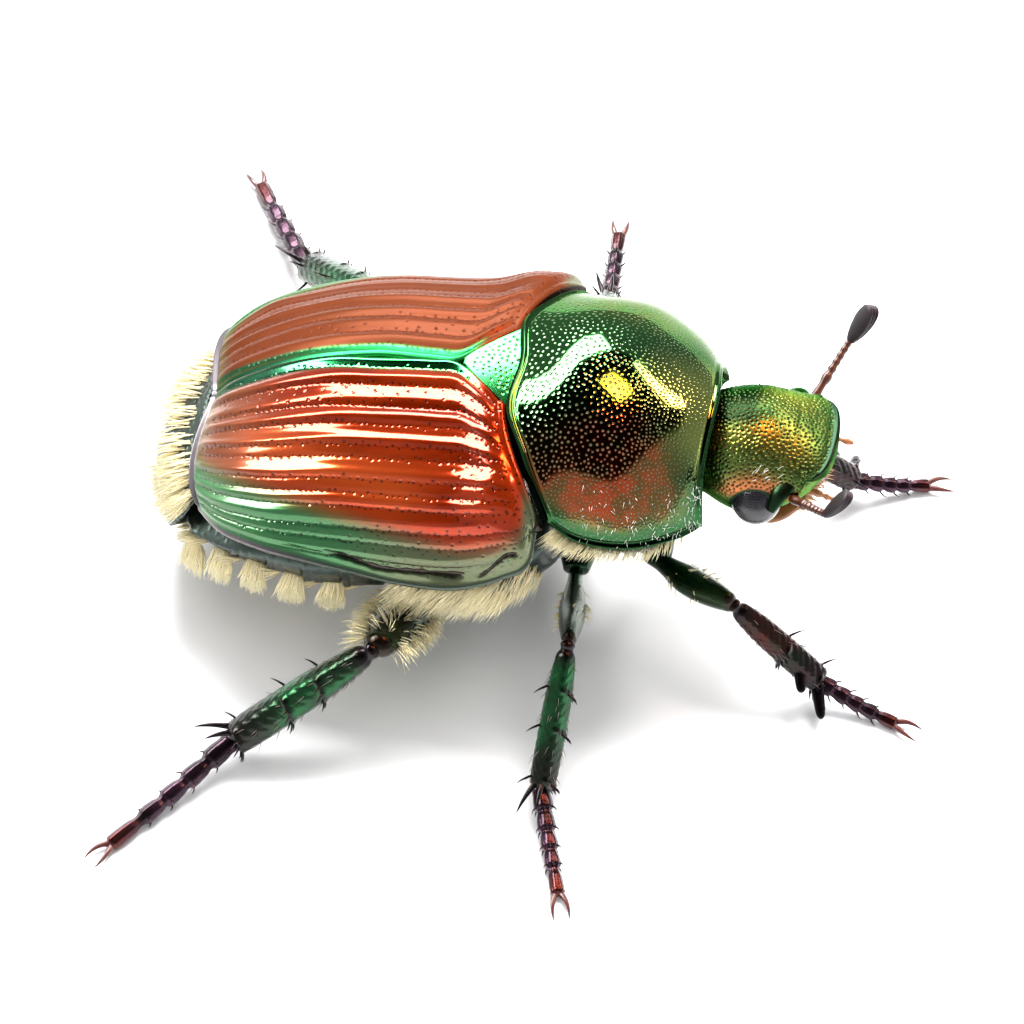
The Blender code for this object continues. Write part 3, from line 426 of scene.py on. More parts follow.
def grid_faces(rows, columns, closed=False):
    """Quads over a grid of points; a closed grid joins its last column to its first."""
    i = np.arange(rows - 1)[:, None] * columns
    j = np.arange(columns if closed else columns - 1)[None, :]
    k = (j + 1) % columns
    return np.stack([i + j, i + columns + j, i + columns + k, i + k], axis=-1).reshape(-1, 4)


def fan(loop, tip):
    """Triangles from each step of a loop of point numbers to one tip."""
    return np.stack([loop, np.roll(loop, -1), np.full(len(loop), tip)], axis=1)


def closed_loft(rings, start=None, end=None):
    """Points and faces of a closed body through rings (rows by columns by 3), capped at both ends."""
    rows, columns = rings.shape[:2]
    start = rings[0].mean(axis=0) if start is None else np.array(start, float)
    end = rings[-1].mean(axis=0) if end is None else np.array(end, float)
    points = np.concatenate([rings.reshape(-1, 3), [start, end]])
    first = np.arange(columns)
    last = first + (rows - 1) * columns
    caps = np.concatenate([fan(first, rows * columns), fan(last[::-1], rows * columns + 1)])
    return points, [grid_faces(rows, columns, closed=True), caps]


def closed_sheet(points, middle):
    """Points and faces of a sheet whose rim is closed by a fan to one hidden middle point."""
    rows, columns = points.shape[:2]
    number = np.arange(rows * columns).reshape(rows, columns)
    loop = np.concatenate([number[0, :-1], number[:-1, -1], number[-1, :0:-1], number[:0:-1, 0]])
    points = np.concatenate([points.reshape(-1, 3), [middle]])
    return points, [grid_faces(rows, columns), fan(loop, rows * columns)]


def with_rim(points, normals, radius, depth):
    """The grid with a rounded rim added on all four sides, which turns under and goes down by depth."""
    rows, columns = points.shape[:2]
    steps = RIM_STEPS
    i, j = (np.arange(-steps - 1, count + steps + 1) for count in (rows, columns))
    row, column = np.clip(i, 0, rows - 1), np.clip(j, 0, columns - 1)
    past_row, past_column = (i - row)[:, None, None], (j - column)[None, :, None]
    at = np.ix_(row, column)
    along, across = (unit(np.gradient(points, axis=axis))[at] for axis in (0, 1))
    outward = unit(along * past_row + across * past_column)
    ring = np.maximum(abs(past_row), abs(past_column))
    angle = np.pi / 2 * np.minimum(ring, steps) / steps
    moved = points[at] + outward * radius * np.sin(angle)
    return moved - normals[at] * (radius * (1 - np.cos(angle)) + depth * (ring > steps))


def merged(parts):
    """Many (shape, mark values) as one; the values may be one number for the whole part."""
    points, faces, marks, count = [], [], [], 0
    for (part_points, part_faces), values in parts:
        values = np.atleast_1d(values).ravel()
        points.append(part_points)
        faces += [np.asarray(face_set) + count for face_set in part_faces]
        marks.append(np.pad(values, (0, len(part_points) - len(values)), mode="edge"))
        count += len(part_points)
    return (np.concatenate(points), faces), np.concatenate(marks)


def together(shapes):
    """Many shapes as one."""
    return merged([(shape, 0.0) for shape in shapes])[0]


def above_floor(shape):
    """The shape with its points below the floor lifted onto it."""
    points, face_sets = shape
    points[:, 2] = np.maximum(points[:, 2], 0.0)
    return points, face_sets


def add_piece(name, shape, look, node=None, marks=None, patches=None):
    """A piece of the beetle: its mesh in metres, its material and the solid that it stands for."""
    points, face_sets = shape
    mesh = bpy.data.meshes.new(name)
    mesh.vertices.add(len(points))
    mesh.vertices.foreach_set("co", ((points + SHIFT) * MM).astype(np.float32).ravel())
    corners = np.concatenate([face_set.ravel() for face_set in face_sets])
    sizes = np.concatenate([np.full(len(face_set), face_set.shape[1]) for face_set in face_sets])
    mesh.loops.add(len(corners))
    mesh.loops.foreach_set("vertex_index", corners.astype(np.int32))
    mesh.polygons.add(len(sizes))
    mesh.polygons.foreach_set("loop_start", (np.cumsum(sizes) - sizes).astype(np.int32))
    mesh.update(calc_edges=True)
    mesh.validate()
    mesh.shade_smooth()
    for mark, values in (marks or {}).items():
        padded = np.zeros(len(points), np.float32)
        padded[:len(values)] = values
        mesh.attributes.new(mark, "FLOAT", "POINT").data.foreach_set("value", padded)
    if patches is not None:
        layer = mesh.uv_layers.new(name="OFBake")
        layer.uv.foreach_set("vector", patches[corners].astype(np.float32).ravel())
    mesh.materials.append(look)
    piece = bpy.data.objects.new(name, mesh)
    bpy.context.scene.collection.objects.link(piece)
    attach(piece, "root")
    if node:
        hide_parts(node)


def facing_out(shape, middle):
    """The shape with its faces turned round if its first ones face the middle."""
    points, face_sets = shape
    quads = face_sets[0]
    a, b, c = (points[quads[:, i]] for i in range(3))
    outward = (np.cross(b - a, c - a) * (a - np.array(middle))).sum()
    return shape if outward > 0 else (points, [face_set[:, ::-1] for face_set in face_sets])


# Materials


def new_look(name, **values):
    """A material whose Principled shader has the values given: a colour as a tuple, a vector as a list."""
    look = bpy.data.materials.new(name)
    look.use_nodes = True
    shader = look.node_tree.nodes["Principled BSDF"]
    for socket, value in values.items():
        socket = socket.replace("_", " ").title().replace("Ior", "IOR")
        shader.inputs[socket].default_value = (*value, 1) if isinstance(value, tuple) else value
    return look


def add_node(look, kind, settings=(), **inputs):
    """A node of the material, its settings and inputs given by name; an input may be a socket."""
    node = look.node_tree.nodes.new(kind)
    for setting, value in dict(settings).items():
        setattr(node, setting, value)
    for name, value in inputs.items():
        socket = node.inputs[name]
        if isinstance(value, bpy.types.NodeSocket):
            look.node_tree.links.new(value, socket)
        else:
            socket.default_value = value
    return node


def join(look, source, socket):
    look.node_tree.links.new(source, look.node_tree.nodes["Principled BSDF"].inputs[socket])


def mark_of(look, name):
    """The value that the mesh carries under a mark's name."""
    return add_node(look, "ShaderNodeAttribute", {"attribute_name": name}).outputs["Fac"]


def noise_of(look, size, detail=3.0, stretch=(1, 1, 1)):
    """Noise from 0 to 1 with features of a size in millimetres, in the object's own space."""
    place = add_node(look, "ShaderNodeTexCoord").outputs["Object"]
    mapping = add_node(look, "ShaderNodeMapping", Vector=place, Scale=stretch).outputs["Vector"]
    scale = 1 / (size * MM)
    noise = add_node(look, "ShaderNodeTexNoise", Vector=mapping, Scale=scale, Detail=detail, Roughness=0.6)
    return noise.outputs["Fac"]


def remap(look, value, low, high, to_low=0.0, to_high=1.0):
    settings = {"interpolation_type": "SMOOTHSTEP"}
    node = add_node(look, "ShaderNodeMapRange", settings, Value=value)
    for name, number in zip(("From Min", "From Max", "To Min", "To Max"), (low, high, to_low, to_high)):
        node.inputs[name].default_value = number
    return node.outputs["Result"]


def mix_of(look, factor, first, second):
    """A colour between first and second, each a socket or a colour."""
    node = add_node(look, "ShaderNodeMix", {"data_type": "RGBA", "clamp_factor": True})
    for index, value in ((0, factor), (6, first), (7, second)):
        if isinstance(value, bpy.types.NodeSocket):
            look.node_tree.links.new(value, node.inputs[index])
        else:
            node.inputs[index].default_value = value if isinstance(value, float) else (*value, 1)
    return node.outputs[2]


def add_bump(look, height, strength, depth):
    """Relief from a height between 0 and 1, at full strength depth millimetres deep."""
    bump = add_node(look, "ShaderNodeBump", Height=height, Strength=strength, Distance=depth * MM)
    join(look, bump.outputs["Normal"], "Normal")


def layered(look, colour, *layers):
    """The colour with others laid over it in turn, each as (the mark that says where, the colour)."""
    for mark, layer in layers:
        colour = mix_of(look, mark_of(look, mark), colour, layer)
    return colour


def by_mark(look, mark, without, full):
    """A number with one value where there is no mark and another where the mark is full."""
    return remap(look, mark_of(look, mark), 0.0, 1.0, without, full)


def math_of(look, operation, *values):
    node = add_node(look, "ShaderNodeMath", {"operation": operation})
    for value, socket in zip(values, node.inputs):
        look.node_tree.links.new(value, socket)
    return node.outputs[0]


def finished(look, colour, size, detail, strength, depth):
    """The look with its colour and its grain: the noise's size and detail, the bump's strength and depth."""
    join(look, colour, "Base Color")
    add_bump(look, noise_of(look, size, detail), strength, depth)
    return look


def pronotum_look():
    """Mirror-like green with copper patches, dark margins and pale pits; the copper is partly the beetle's
    own tint and partly painted iridescent reflection, strong on the near side; the margins are painted shade;
    a pale patch in front on the near side is a painted highlight; the grey, less metallic pits stand in for
    the light they catch: painted reflection.
    """
    look = new_look("pronotum_green", metallic=1.0, roughness=0.06, specular_tint=(0.55, 0.6, 0.5))
    green = mix_of(look, noise_of(look, 0.8), (0.028, 0.13, 0.04), (0.05, 0.14, 0.04))
    speckles = remap(look, noise_of(look, 0.3, detail=5), 0.35, 0.6, 0.4, 1.0)
    copper = math_of(look, "MULTIPLY", mark_of(look, "copper"), speckles)
    # edge is painted shade at the margins; the pale front colour is a painted highlight; the grey pit colour,
    # less metallic, stands in for light caught in the pits: painted reflection.
    edge, fore_painted_highlight, pit_spots_painted_reflection = (0.02, 0.07, 0.025), (0.22, 0.27, 0.07), (0.09, 0.105, 0.075)
    colour = mix_of(look, copper, green, (0.62, 0.11, 0.04))
    colour = layered(look, colour, ("edge", edge), ("fore_painted_highlight", fore_painted_highlight), ("pit", pit_spots_painted_reflection))
    join(look, by_mark(look, "pit", 1.0, 0.4), "Metallic")
    return finished(look, colour, 0.02, 2, 0.05, 0.003)


def scutellum_look():
    look = new_look("scutellum_green", metallic=1.0, roughness=0.17)
    green = mix_of(look, noise_of(look, 0.3), (0.025, 0.26, 0.05), (0.05, 0.34, 0.1))
    # The pits are darker green: painted shade in the hollows.
    return finished(look, layered(look, green, ("pit", (0.02, 0.09, 0.03))), 0.02, 2, 0.12, 0.004)


def head_look():
    """Green that turns gold and copper in front, with a dark front rim; nearly black at the rear of the crown
    from its middle to the far side, darker round the eyes and darker in the pits: painted shade.
    """
    look = new_look("head_green_gold", metallic=1.0, roughness=0.3, specular_tint=(0.4, 0.6, 0.4))
    cloudy = remap(look, noise_of(look, 0.3), 0.35, 0.65)
    green = mix_of(look, cloudy, (0.045, 0.14, 0.04), (0.09, 0.17, 0.045))
    front = layered(look, green, ("gold", (0.24, 0.3, 0.06)), ("copper", (0.36, 0.12, 0.045)))
    # The rear colour, the edge colour round the eyes and the darker pit colour are painted shade; on the
    # front rim the edge colour is the rim's own.
    rear, edge, pit = (0.006, 0.013, 0.005), (0.012, 0.025, 0.015), (0.04, 0.07, 0.025)
    colour = layered(look, front, ("rear", rear), ("edge", edge), ("pit", pit))
    return finished(look, colour, 0.02, 2, 0.15, 0.004)


def wing_case_look(side_name):
    """Copper with a green side and suture. The far case shines less and is darker, as is the near case's
    rear: painted shade. The near case's side is painted brighter orange: painted light. The pits, the groove,
    the crease and the lip under the pronotum are darker: painted shade.
    """
    coat, level, dull_painted_shade = WING_CASE_SHINE_AND_PAINTED_SHADE[side_name]
    look = new_look(
        "wing_case_copper_" + side_name, coat_weight=coat, coat_roughness=0.05, specular_ior_level=level,
        specular_tint=(0.7, 0.55, 0.45),
    )
    cloudy = remap(look, noise_of(look, 0.5, stretch=(0.3, 1, 1)), 0.35, 0.65)
    copper = mix_of(look, cloudy, (0.22, 0.013, 0.001), (0.36, 0.03, 0.004))
    # The bright orange along the near case's side is painted light; the darker pit colour is painted shade in
    # the hollows.
    painted_light_flank, pit = (0.5, 0.07, 0.013), (0.05, 0.008, 0.003)
    copper = layered(look, copper, ("painted_light_flank", painted_light_flank), ("dull_painted_shade", dull_painted_shade), ("pit", pit))
    # The green side's darker pit colour is painted shade in the hollows too.
    side = layered(look, (0.035, 0.14, 0.05), ("front", (0.085, 0.105, 0.05)), ("pit", (0.03, 0.05, 0.03)))
    suture = layered(look, (0.02, 0.3, 0.075), ("rear", (0.012, 0.06, 0.03)))
    rim = layered(look, (0.03, 0.05, 0.035), ("rear", (0.09, 0.08, 0.09)))
    # Dark in the groove, the crease and on the lip under the pronotum: painted shade.
    groove = (0.012, 0.006, 0.005)
    colour = layered(look, copper, ("side", side), ("suture", suture), ("groove", groove), ("rim", rim))
    metal = math_of(look, "MAXIMUM", mark_of(look, "suture"), by_mark(look, "dull_painted_shade", 0.65, 0.2))
    join(look, metal, "Metallic")
    join(look, by_mark(look, "dull_painted_shade", 0.13, 0.36), "Roughness")
    return finished(look, colour, 0.03, 3, 0.1, 0.004)


def trunk_look():
    look = new_look("trunk_dark_green", metallic=0.8, roughness=0.38, coat_weight=0.15, coat_roughness=0.2)
    green = mix_of(look, noise_of(look, 0.5), (0.02, 0.04, 0.028), (0.04, 0.05, 0.048))
    # The pits are darker: painted shade in the hollows.
    return finished(look, layered(look, green, ("pit", (0.02, 0.03, 0.02))), 0.05, 3, 0.5, 0.01)


def leg_look(name, colour, second, tint=(0.1, 0.03, 0.03)):
    """A leg's shell: two colours in patches, and a tint at the mark end."""
    look = new_look(name, metallic=0.9, roughness=0.2, coat_weight=0.12, coat_roughness=0.08)
    patches = remap(look, noise_of(look, 0.9), 0.4, 0.62)
    blended = mix_of(look, patches, colour, second)
    return finished(look, layered(look, blended, ("end", tint)), 0.05, 4, 0.7, 0.01)


def horn_look(name, colour, second, roughness=0.32, coat=0.3):
    """Feelers, claws and mouthparts: smooth brown or black horn."""
    look = new_look(
        name, roughness=roughness, coat_weight=coat, coat_roughness=0.15, subsurface_weight=0.1,
        subsurface_radius=[0.1, 0.04, 0.02], subsurface_scale=MM,
    )
    return finished(look, mix_of(look, noise_of(look, 0.15), colour, second), 0.03, 3, 0.4, 0.005)


def eye_look():
    """Black eyes under a fine net of facets."""
    look = new_look("eye_black", roughness=0.16, coat_weight=0.1, coat_roughness=0.06)
    place = add_node(look, "ShaderNodeTexCoord").outputs["Object"]
    settings, scale = {"feature": "DISTANCE_TO_EDGE"}, 1 / (EYE_FACET * MM)
    net = add_node(look, "ShaderNodeTexVoronoi", settings, Vector=place, Scale=scale, Randomness=0.35)
    facets = remap(look, net.outputs["Distance"], 0.0, 0.12)
    join(look, mix_of(look, facets, (0.02, 0.02, 0.022), (0.008, 0.008, 0.011)), "Base Color")
    add_bump(look, facets, 0.3, 0.003)
    return look


def hair_look(name, colour, second):
    look = new_look(name, roughness=0.42, sheen_weight=0.3, sheen_roughness=0.4)
    colour = mix_of(look, noise_of(look, 0.15), colour, second)
    tip = tuple(min(1.0, 1.2 * part) for part in second)
    return finished(look, layered(look, colour, ("tip", tip)), 0.02, 3, 0.3, 0.003)


# Prothorax


def pronotum_top(u, v):
    """The pronotum's upper side: u from hind to front margin, v from -1 (right edge) to 1 (left edge)."""
    fall = track(PRONOTUM_FALL, u)[:, 0]
    points = arch(track(PRONOTUM_CROWN, u), track(PRONOTUM_EDGE, u), abs(v), lean=3 - 2 * u, fall=fall)
    points[:, 0] -= HIND_LOBE * (1 - u) ** 4 * np.sin(np.pi * np.minimum(1, 2 * abs(v))) ** 2
    points[:, 0] -= FRONT_BAY * u**4 * np.sin(np.pi * abs(v)) ** 2
    points[:, 1] *= np.sign(v)
    return points


def prothorax_under(u, v):
    """The prothorax's underside, v from 0 (left edge) to 1 (right edge)."""
    edge, keel = track(PRONOTUM_EDGE, u), track(PROTHORAX_KEEL, u)
    s = np.sin(np.pi * v)
    return np.stack([
        edge[:, 0] + (keel[:, 0] - edge[:, 0]) * s,
        edge[:, 1] * np.cos(np.pi * v),
        edge[:, 2] + (keel[:, 2] - edge[:, 2]) * s**KEEL_TUCK,
    ], axis=1)


def rounded_end(ring, height, out, radius, inner_x, share):
    """Rows that round a ring's end over and turn it back in, towards a smaller ring at inner_x."""
    centre = ring * (1, 0, 0) + (0, 0, height)
    inward = unit(centre - ring)
    rows = [
        ring + np.array([out, 0, 0]) * radius * math.sin(a) + inward * radius * (1 - math.cos(a))
        for a in np.linspace(0, math.pi / 2, 4)[1:]
    ]
    inner = centre + (ring - centre) * share
    inner[:, 0] = inner_x
    rows += [rows[-1] * 0.6 + inner * 0.4, inner]
    return rows


def pronotum_spacing(points):
    """How far apart the punctures are: widest behind on the back, closest in front and at the sides."""
    x, y = points[..., 0], abs(points[..., 1])
    close = np.maximum(step_between(0.4, 2.8, x), step_between(1.0, 2.1, y))
    wide, narrow = PRONOTUM_PIT_SPACING
    return wide + (narrow - wide) * close


def bead(way, width, groove, groove_width):
    """A bead along an edge and the groove beside it, by the way in from that edge."""
    return bell(way - 0.03, width) - 0.5 * bell(way - groove, groove_width)


def pronotum_relief(points, side, hind, front):
    """The height of the punctures and of the beads along the edges, and the mark of the punctures."""
    places = points[::2, ::2]
    seeds = scattered(places, pronotum_spacing(places), seed=11)
    radius, depth = (share * pronotum_spacing(seeds) for share in PRONOTUM_PIT)
    outside = step_between(1.2, 2.0, abs(seeds[:, 1]))
    drop, pit = pits(points, seeds, radius * (1 + 0.2 * outside), depth * (1 - 0.4 * outside))
    plain = step_between(0.07, 0.14, side) * step_between(0.07, 0.14, hind) * step_between(0.06, 0.12, front)
    height = drop * plain
    ends = np.minimum(hind, front)
    height += MARGIN_BEAD * bead(side, 0.035, 0.1, 0.04) * step_between(0, 0.2, ends)
    for way, share in ((hind, 0.7), (front, 0.5)):
        height += share * MARGIN_BEAD * bead(way, 0.03, 0.09, 0.035) * step_between(0.0, 0.3, side)
    return height, pit * plain


def pronotum_marks(points, side, hind, front):
    """Where the copper patches (partly painted reflection, strong on the near side), the dark margins
    (painted shade) and the pale patch in front on the near side (a painted highlight) are.
    """
    x, y = points[..., 0], points[..., 1]
    # The copper is partly the beetle's own tint and partly painted iridescent reflection: strong on the near
    # side, faint on the far side.
    near = 0.08 + 0.92 * step_between(0.3, -0.5, y)
    copper = near * bell(x - 1.6, 1.25) * step_between(0.7, 1.3, abs(y) + 0.3 * (x - 1.6))
    # Dark along the side and hind margins: painted shade where the pronotum meets the wing cases; the front
    # margin's darkening is painted shade next to the head.
    edge = 1 - step_between(0.1, 0.6, side) * step_between(0.02, 0.1, hind)
    front_margin_painted_shade = step_between(0.9, 0.1, front - 0.6 * step_between(1.6, 0.6, abs(y)) * front)
    # A pale patch in front on the near side only: a painted highlight.
    fore_painted_highlight = step_between(1.8, 2.8, x) * step_between(0.9, -0.1, y) * step_between(-1.5, -0.8, y)
    return {
        "copper": copper * step_between(0.2, 0.7, side),
        "edge": np.maximum(edge, front_margin_painted_shade),
        "fore_painted_highlight": fore_painted_highlight * step_between(0.03, 0.12, front),
    }


def build_prothorax():
    """The pronotum's punctured shell and the plain underside, closed at both ends."""
    rows, columns = GRIDS["pronotum"]
    u = even_shares(pronotum_top, 0.0001, rows, axis=0)
    v = even_shares(pronotum_top, 0.5, columns, axis=1, low=-1)
    top = sheet_points(pronotum_top, u, v)
    right, left, hind, front = from_edges(top)
    ways = np.minimum(right, left), hind, front
    height, pit = pronotum_relief(top, *ways)
    top = top + outward_normals(top, PROTHORAX_MIDDLE) * height[..., None]
    under = sheet_points(prothorax_under, u, np.linspace(0, 1, UNDERSIDE_COLUMNS))[:, 1:-1]
    rings = np.concatenate([top, under], axis=1)
    hind_rows = rounded_end(rings[0], PROTHORAX_MIDDLE[2], -1, *HIND_OPENING)
    front_rows = rounded_end(rings[-1], PROTHORAX_MIDDLE[2], 1, *COLLAR)
    rings = np.concatenate([hind_rows[::-1], rings, front_rows])

    start = len(hind_rows)
    padded = {}
    for name, values in {"pit": pit, **pronotum_marks(top, *ways)}.items():
        # The underside and the turned-in ends get the full dark margin colour; at the ends it is painted
        # shade in the gaps.
        whole = np.full(rings.shape[:2], 1.0 if name == "edge" else 0.0)
        whole[start:start + len(u), :len(v)] = values
        padded[name] = whole.ravel()
    shape = facing_out(closed_loft(rings), PROTHORAX_MIDDLE)
    add_piece("prothorax", shape, pronotum_look(), "pronotum", padded)


# Wing cases


def wing_case_surface(u, v):
    """A left wing case: u from front to tip, v from suture (0) to outer edge (1).

    Below u = 0 it runs on under the pronotum, all but its outer edge.
    """
    ahead = -np.minimum(u, 0) * step_between(0.95, 0.7, v)
    u = np.maximum(u, 0)
    crown, edge = track(SUTURE, u), track(WING_CASE_EDGE, u)
    lean, fall = track(WING_CASE_LEAN, u)[:, 0], track(WING_CASE_FALL, u)[:, 0]
    points = arch(crown, edge, v, lean, fall)
    points[:, 0] -= TIP_EDGE_BULGE * np.clip((u - 0.6) / 0.4, 0, 1) ** 2 * np.sin(np.pi * v)
    points[:, 1] -= track(SUTURE_CLOSING, u)[:, 0] * (1 - v) ** 3
    points[:, 0] += 6 * ahead
    points[:, 2] -= 2 * ahead + 12 * np.maximum(ahead - FRONT_LIP, 0)
    return points


def stria_pits(seed):
    """Places of the punctures in rows along a left wing case, each a little off its row."""
    draw = np.random.default_rng(seed)
    places = []
    for v in STRIAE:
        fine = np.linspace(*STRIA_REACH, 600)
        length = way_along(wing_case_surface(fine, np.full(600, v)))
        count = int(length[-1] / STRIA_PIT_SPACING)
        stops = (np.arange(count) + 0.5 + draw.uniform(-0.2, 0.2, count)) * STRIA_PIT_SPACING
        shares = np.interp(stops, length, fine)
        places.append(np.stack([shares, v + draw.normal(0, STRIA_JITTER, count)], axis=1))
    places = np.concatenate(places)
    return wing_case_surface(places[:, 0], places[:, 1])


def wing_case_grid():
    """A left wing case as a grid: its points, their shares u and v, and their ways from the four edges."""
    rows, columns = GRIDS["wing_case"]
    u = even_shares(wing_case_surface, 0.45, rows, axis=0, low=-0.04)
    v = even_shares(wing_case_surface, 0.5, columns, axis=1)
    points = sheet_points(wing_case_surface, u, v)
    u_grid, v_grid = np.meshgrid(u, v, indexing="ij")
    inner, outer, front, tip = from_edges(points)
    return SimpleNamespace(
        points=points, x=points[..., 0], y=points[..., 1], u=u_grid, v=v_grid,
        inner=inner, outer=outer, front=front, tip=tip,
    )


def wing_case_ridges(grid, rise):
    """Ridges with rows of grooves between them, which fade out towards the edges."""
    fade = smooth((grid.u - 0.01 - 0.06 * grid.v) / (0.1 + 0.1 * grid.v))
    fade = fade * step_between(0.0, 0.35, grid.tip) * step_between(0.12, 0.3, grid.outer)
    height = np.zeros(grid.u.shape)
    for v, share in RIDGE_LINES:
        height += rise * share * bell(grid.v - v, RIDGE_WIDTH) * fade
    for v in STRIAE:
        height -= STRIA_SHARE * rise * bell(grid.v - v, STRIA_WIDTH) * fade
    return height


def wing_case_swellings(grid):
    """The shoulder, the swelling near the tip, the dip behind the shoulder and the raised edges."""
    height = np.zeros(grid.u.shape)
    for rise, (x, length), (y, width) in WING_CASE_SWELLINGS:
        height += rise * bell(grid.x - x, length) * bell(grid.y - y, width)
    height -= 0.07 * bell(grid.x + 0.75, 0.45) * bell(grid.outer - 0.3, 0.12)
    edge = np.minimum(grid.outer, grid.tip * 1.2 + 0.12)
    height += 0.05 * bell(edge - 0.04, 0.07)
    height -= 0.05 * bell(edge - 0.2, 0.055) * step_between(0.15, 0.05, grid.tip)
    height += 0.012 * bell(grid.inner - 0.05, 0.04)
    height += 0.018 * bell(grid.u + 0.008, 0.008)
    return height


def wing_case_grooves(grid):
    """The groove inside the outer edge and the crease below the shoulder, from 0 to 1."""
    x, outer = grid.x, grid.outer
    groove = bell(outer - 0.29 - 0.03 * np.sin(4 * x), 0.04 + 0.012 * np.sin(7 * x) * np.sin(17 * x))
    groove *= 1.6 * step_between(-2.9, -2.3, x) * step_between(-0.45, -0.6, x)
    crease = bell(outer - 0.34 - 0.12 * np.sin(7 * x), 0.035)
    crease = crease * step_between(-0.3, -0.1, x) * step_between(0.45, 0.3, x)
    return np.minimum(np.maximum(groove, 1.4 * crease), 1)


def wing_case_punctures(grid, side):
    """The height and mark of the punctures: in rows, and loose on the second interval, side and front."""
    loose = scattered(grid.points[::4, ::4], 0.14, seed=23 + side)
    second = wing_case_surface(np.linspace(0.02, 0.98, 200), np.full(200, SECOND_INTERVAL))
    near_second = nearest(loose[None], second)[0][0] < 0.2
    on_side = (loose[:, 2] < 4.1) & (loose[:, 0] > -2.6)
    in_front = loose[:, 0] > -0.9
    seeds = np.concatenate([stria_pits(seed=21 + side), loose[near_second | on_side | in_front]])
    drop, pit = pits(grid.points, seeds, *STRIA_PIT, seed=25)
    plain = step_between(0.16, 0.26, grid.outer) * step_between(0.1, 0.2, grid.tip)
    plain = plain * step_between(0.05, 0.08, grid.inner) * step_between(0.06, 0.12, grid.front)
    return drop * plain, pit * plain


def wing_case_marks(grid, side):
    """Where the wing case is green, has its suture and rim, is painted duller and darker (painted shade, on
    the far case and at the near case's rear), or painted brighter along the near case's side (painted light).
    """
    low_side = step_between(1.25, 0.75, grid.outer + 0.3 * step_between(0.4, 0.1, grid.u))
    low_tip = step_between(0.5, 0.1, grid.tip) * (0.3 + 0.6 * step_between(0.35, 0.6, grid.v))
    return {
        "side": np.maximum(low_side, low_tip),
        "front": step_between(-2.8, -1.2, grid.x),
        "suture": step_between(0.27, 0.18, grid.inner) * step_between(0.1, 0.16, grid.u),
        "rear": step_between(-2.4, -4.2, grid.x),
        # The far case, and the near case's rear, are painted duller and darker: painted shade.
        "dull_painted_shade": np.maximum(0.9 * step_between(-3.2, -4.9, grid.x), 0.9 * (side > 0)),
        # Only the near case gets the bright orange along its side: painted light.
        "painted_light_flank": bell(grid.outer - 1.7, 0.45) * step_between(-0.8, -1.8, grid.x) * (side < 0),
        "rim": np.maximum(step_between(0.13, 0.08, grid.outer), step_between(0.1, 0.05, grid.tip)),
    }


def build_wing_case(side_name, side):
    """One wing case, shaped as the left one and mirrored for the right."""
    grid = wing_case_grid()
    normals = outward_normals(grid.points, WING_CASE_MIDDLE)
    groove = wing_case_grooves(grid)
    drop, pit = wing_case_punctures(grid, side)
    height = wing_case_ridges(grid, RIDGE_HEIGHT[side_name]) + wing_case_swellings(grid)
    height += drop - WING_CASE_GROOVE * groove
    # The lip under the pronotum is marked as groove, so it is dark: painted shade under the pronotum.
    lip = step_between(-FRONT_LIP + 0.002, -FRONT_LIP - 0.003, grid.u)
    marks = {"pit": pit, "groove": np.maximum(groove, lip), **wing_case_marks(grid, side)}
    whole = with_rim(grid.points + normals * height[..., None], normals, *WING_CASE_RIM)
    padded = {name: np.pad(values, RIM_STEPS + 1, mode="edge").ravel() for name, values in marks.items()}
    whole[..., 1] *= side
    inside, middle = mirrored(WING_CASE_INSIDE, side), mirrored(WING_CASE_MIDDLE, side)
    shape = facing_out(closed_sheet(whole, inside), middle)
    look, node = wing_case_look(side_name), "elytron_" + side_name
    add_piece("wing_case_" + side_name, shape, look, node, padded)


# Scutellum


def scutellum_surface(u, v):
    """The scutellum from its base (u 0) to its tip (u 1), v from right to left."""
    base_x, half_base, height = SCUTELLUM_BASE
    reach = base_x + 0.3
    x = reach + (SCUTELLUM_TIP_X + 0.03 - reach) * u
    share = np.clip((x - SCUTELLUM_TIP_X) / (reach - SCUTELLUM_TIP_X), 0.0, 1) ** (1 / SCUTELLUM_BOW)
    half = (half_base + 0.24) * share
    return np.stack([x, half * v, height + 0.03 - 0.09 * (share * v) ** 2 - 0.05 * u**2], axis=1)


def build_scutellum():
    rows, columns = GRIDS["scutellum"]
    points = sheet_points(scutellum_surface, np.linspace(0, 1, rows), np.linspace(-1, 1, columns))
    normals = outward_normals(points, SCUTELLUM_MIDDLE)
    right, left, _, _ = from_edges(points)
    seeds = scattered(points[::2, ::2], 0.085, seed=31)
    seeds = seeds[seeds[:, 0] > SCUTELLUM_BARE_X]
    drop, pit = pits(points, seeds, *SCUTELLUM_PIT)
    plain = step_between(0.05, 0.12, np.minimum(right, left))
    points = points + normals * (drop * plain)[..., None]
    whole = with_rim(points, normals, *SCUTELLUM_RIM)
    marks = {"pit": np.pad(pit * plain, RIM_STEPS + 1).ravel()}
    shape = facing_out(closed_sheet(whole, SCUTELLUM_INSIDE), SCUTELLUM_MIDDLE)
    add_piece("scutellum_plate", shape, scutellum_look(), "scutellum", marks)


# Trunk


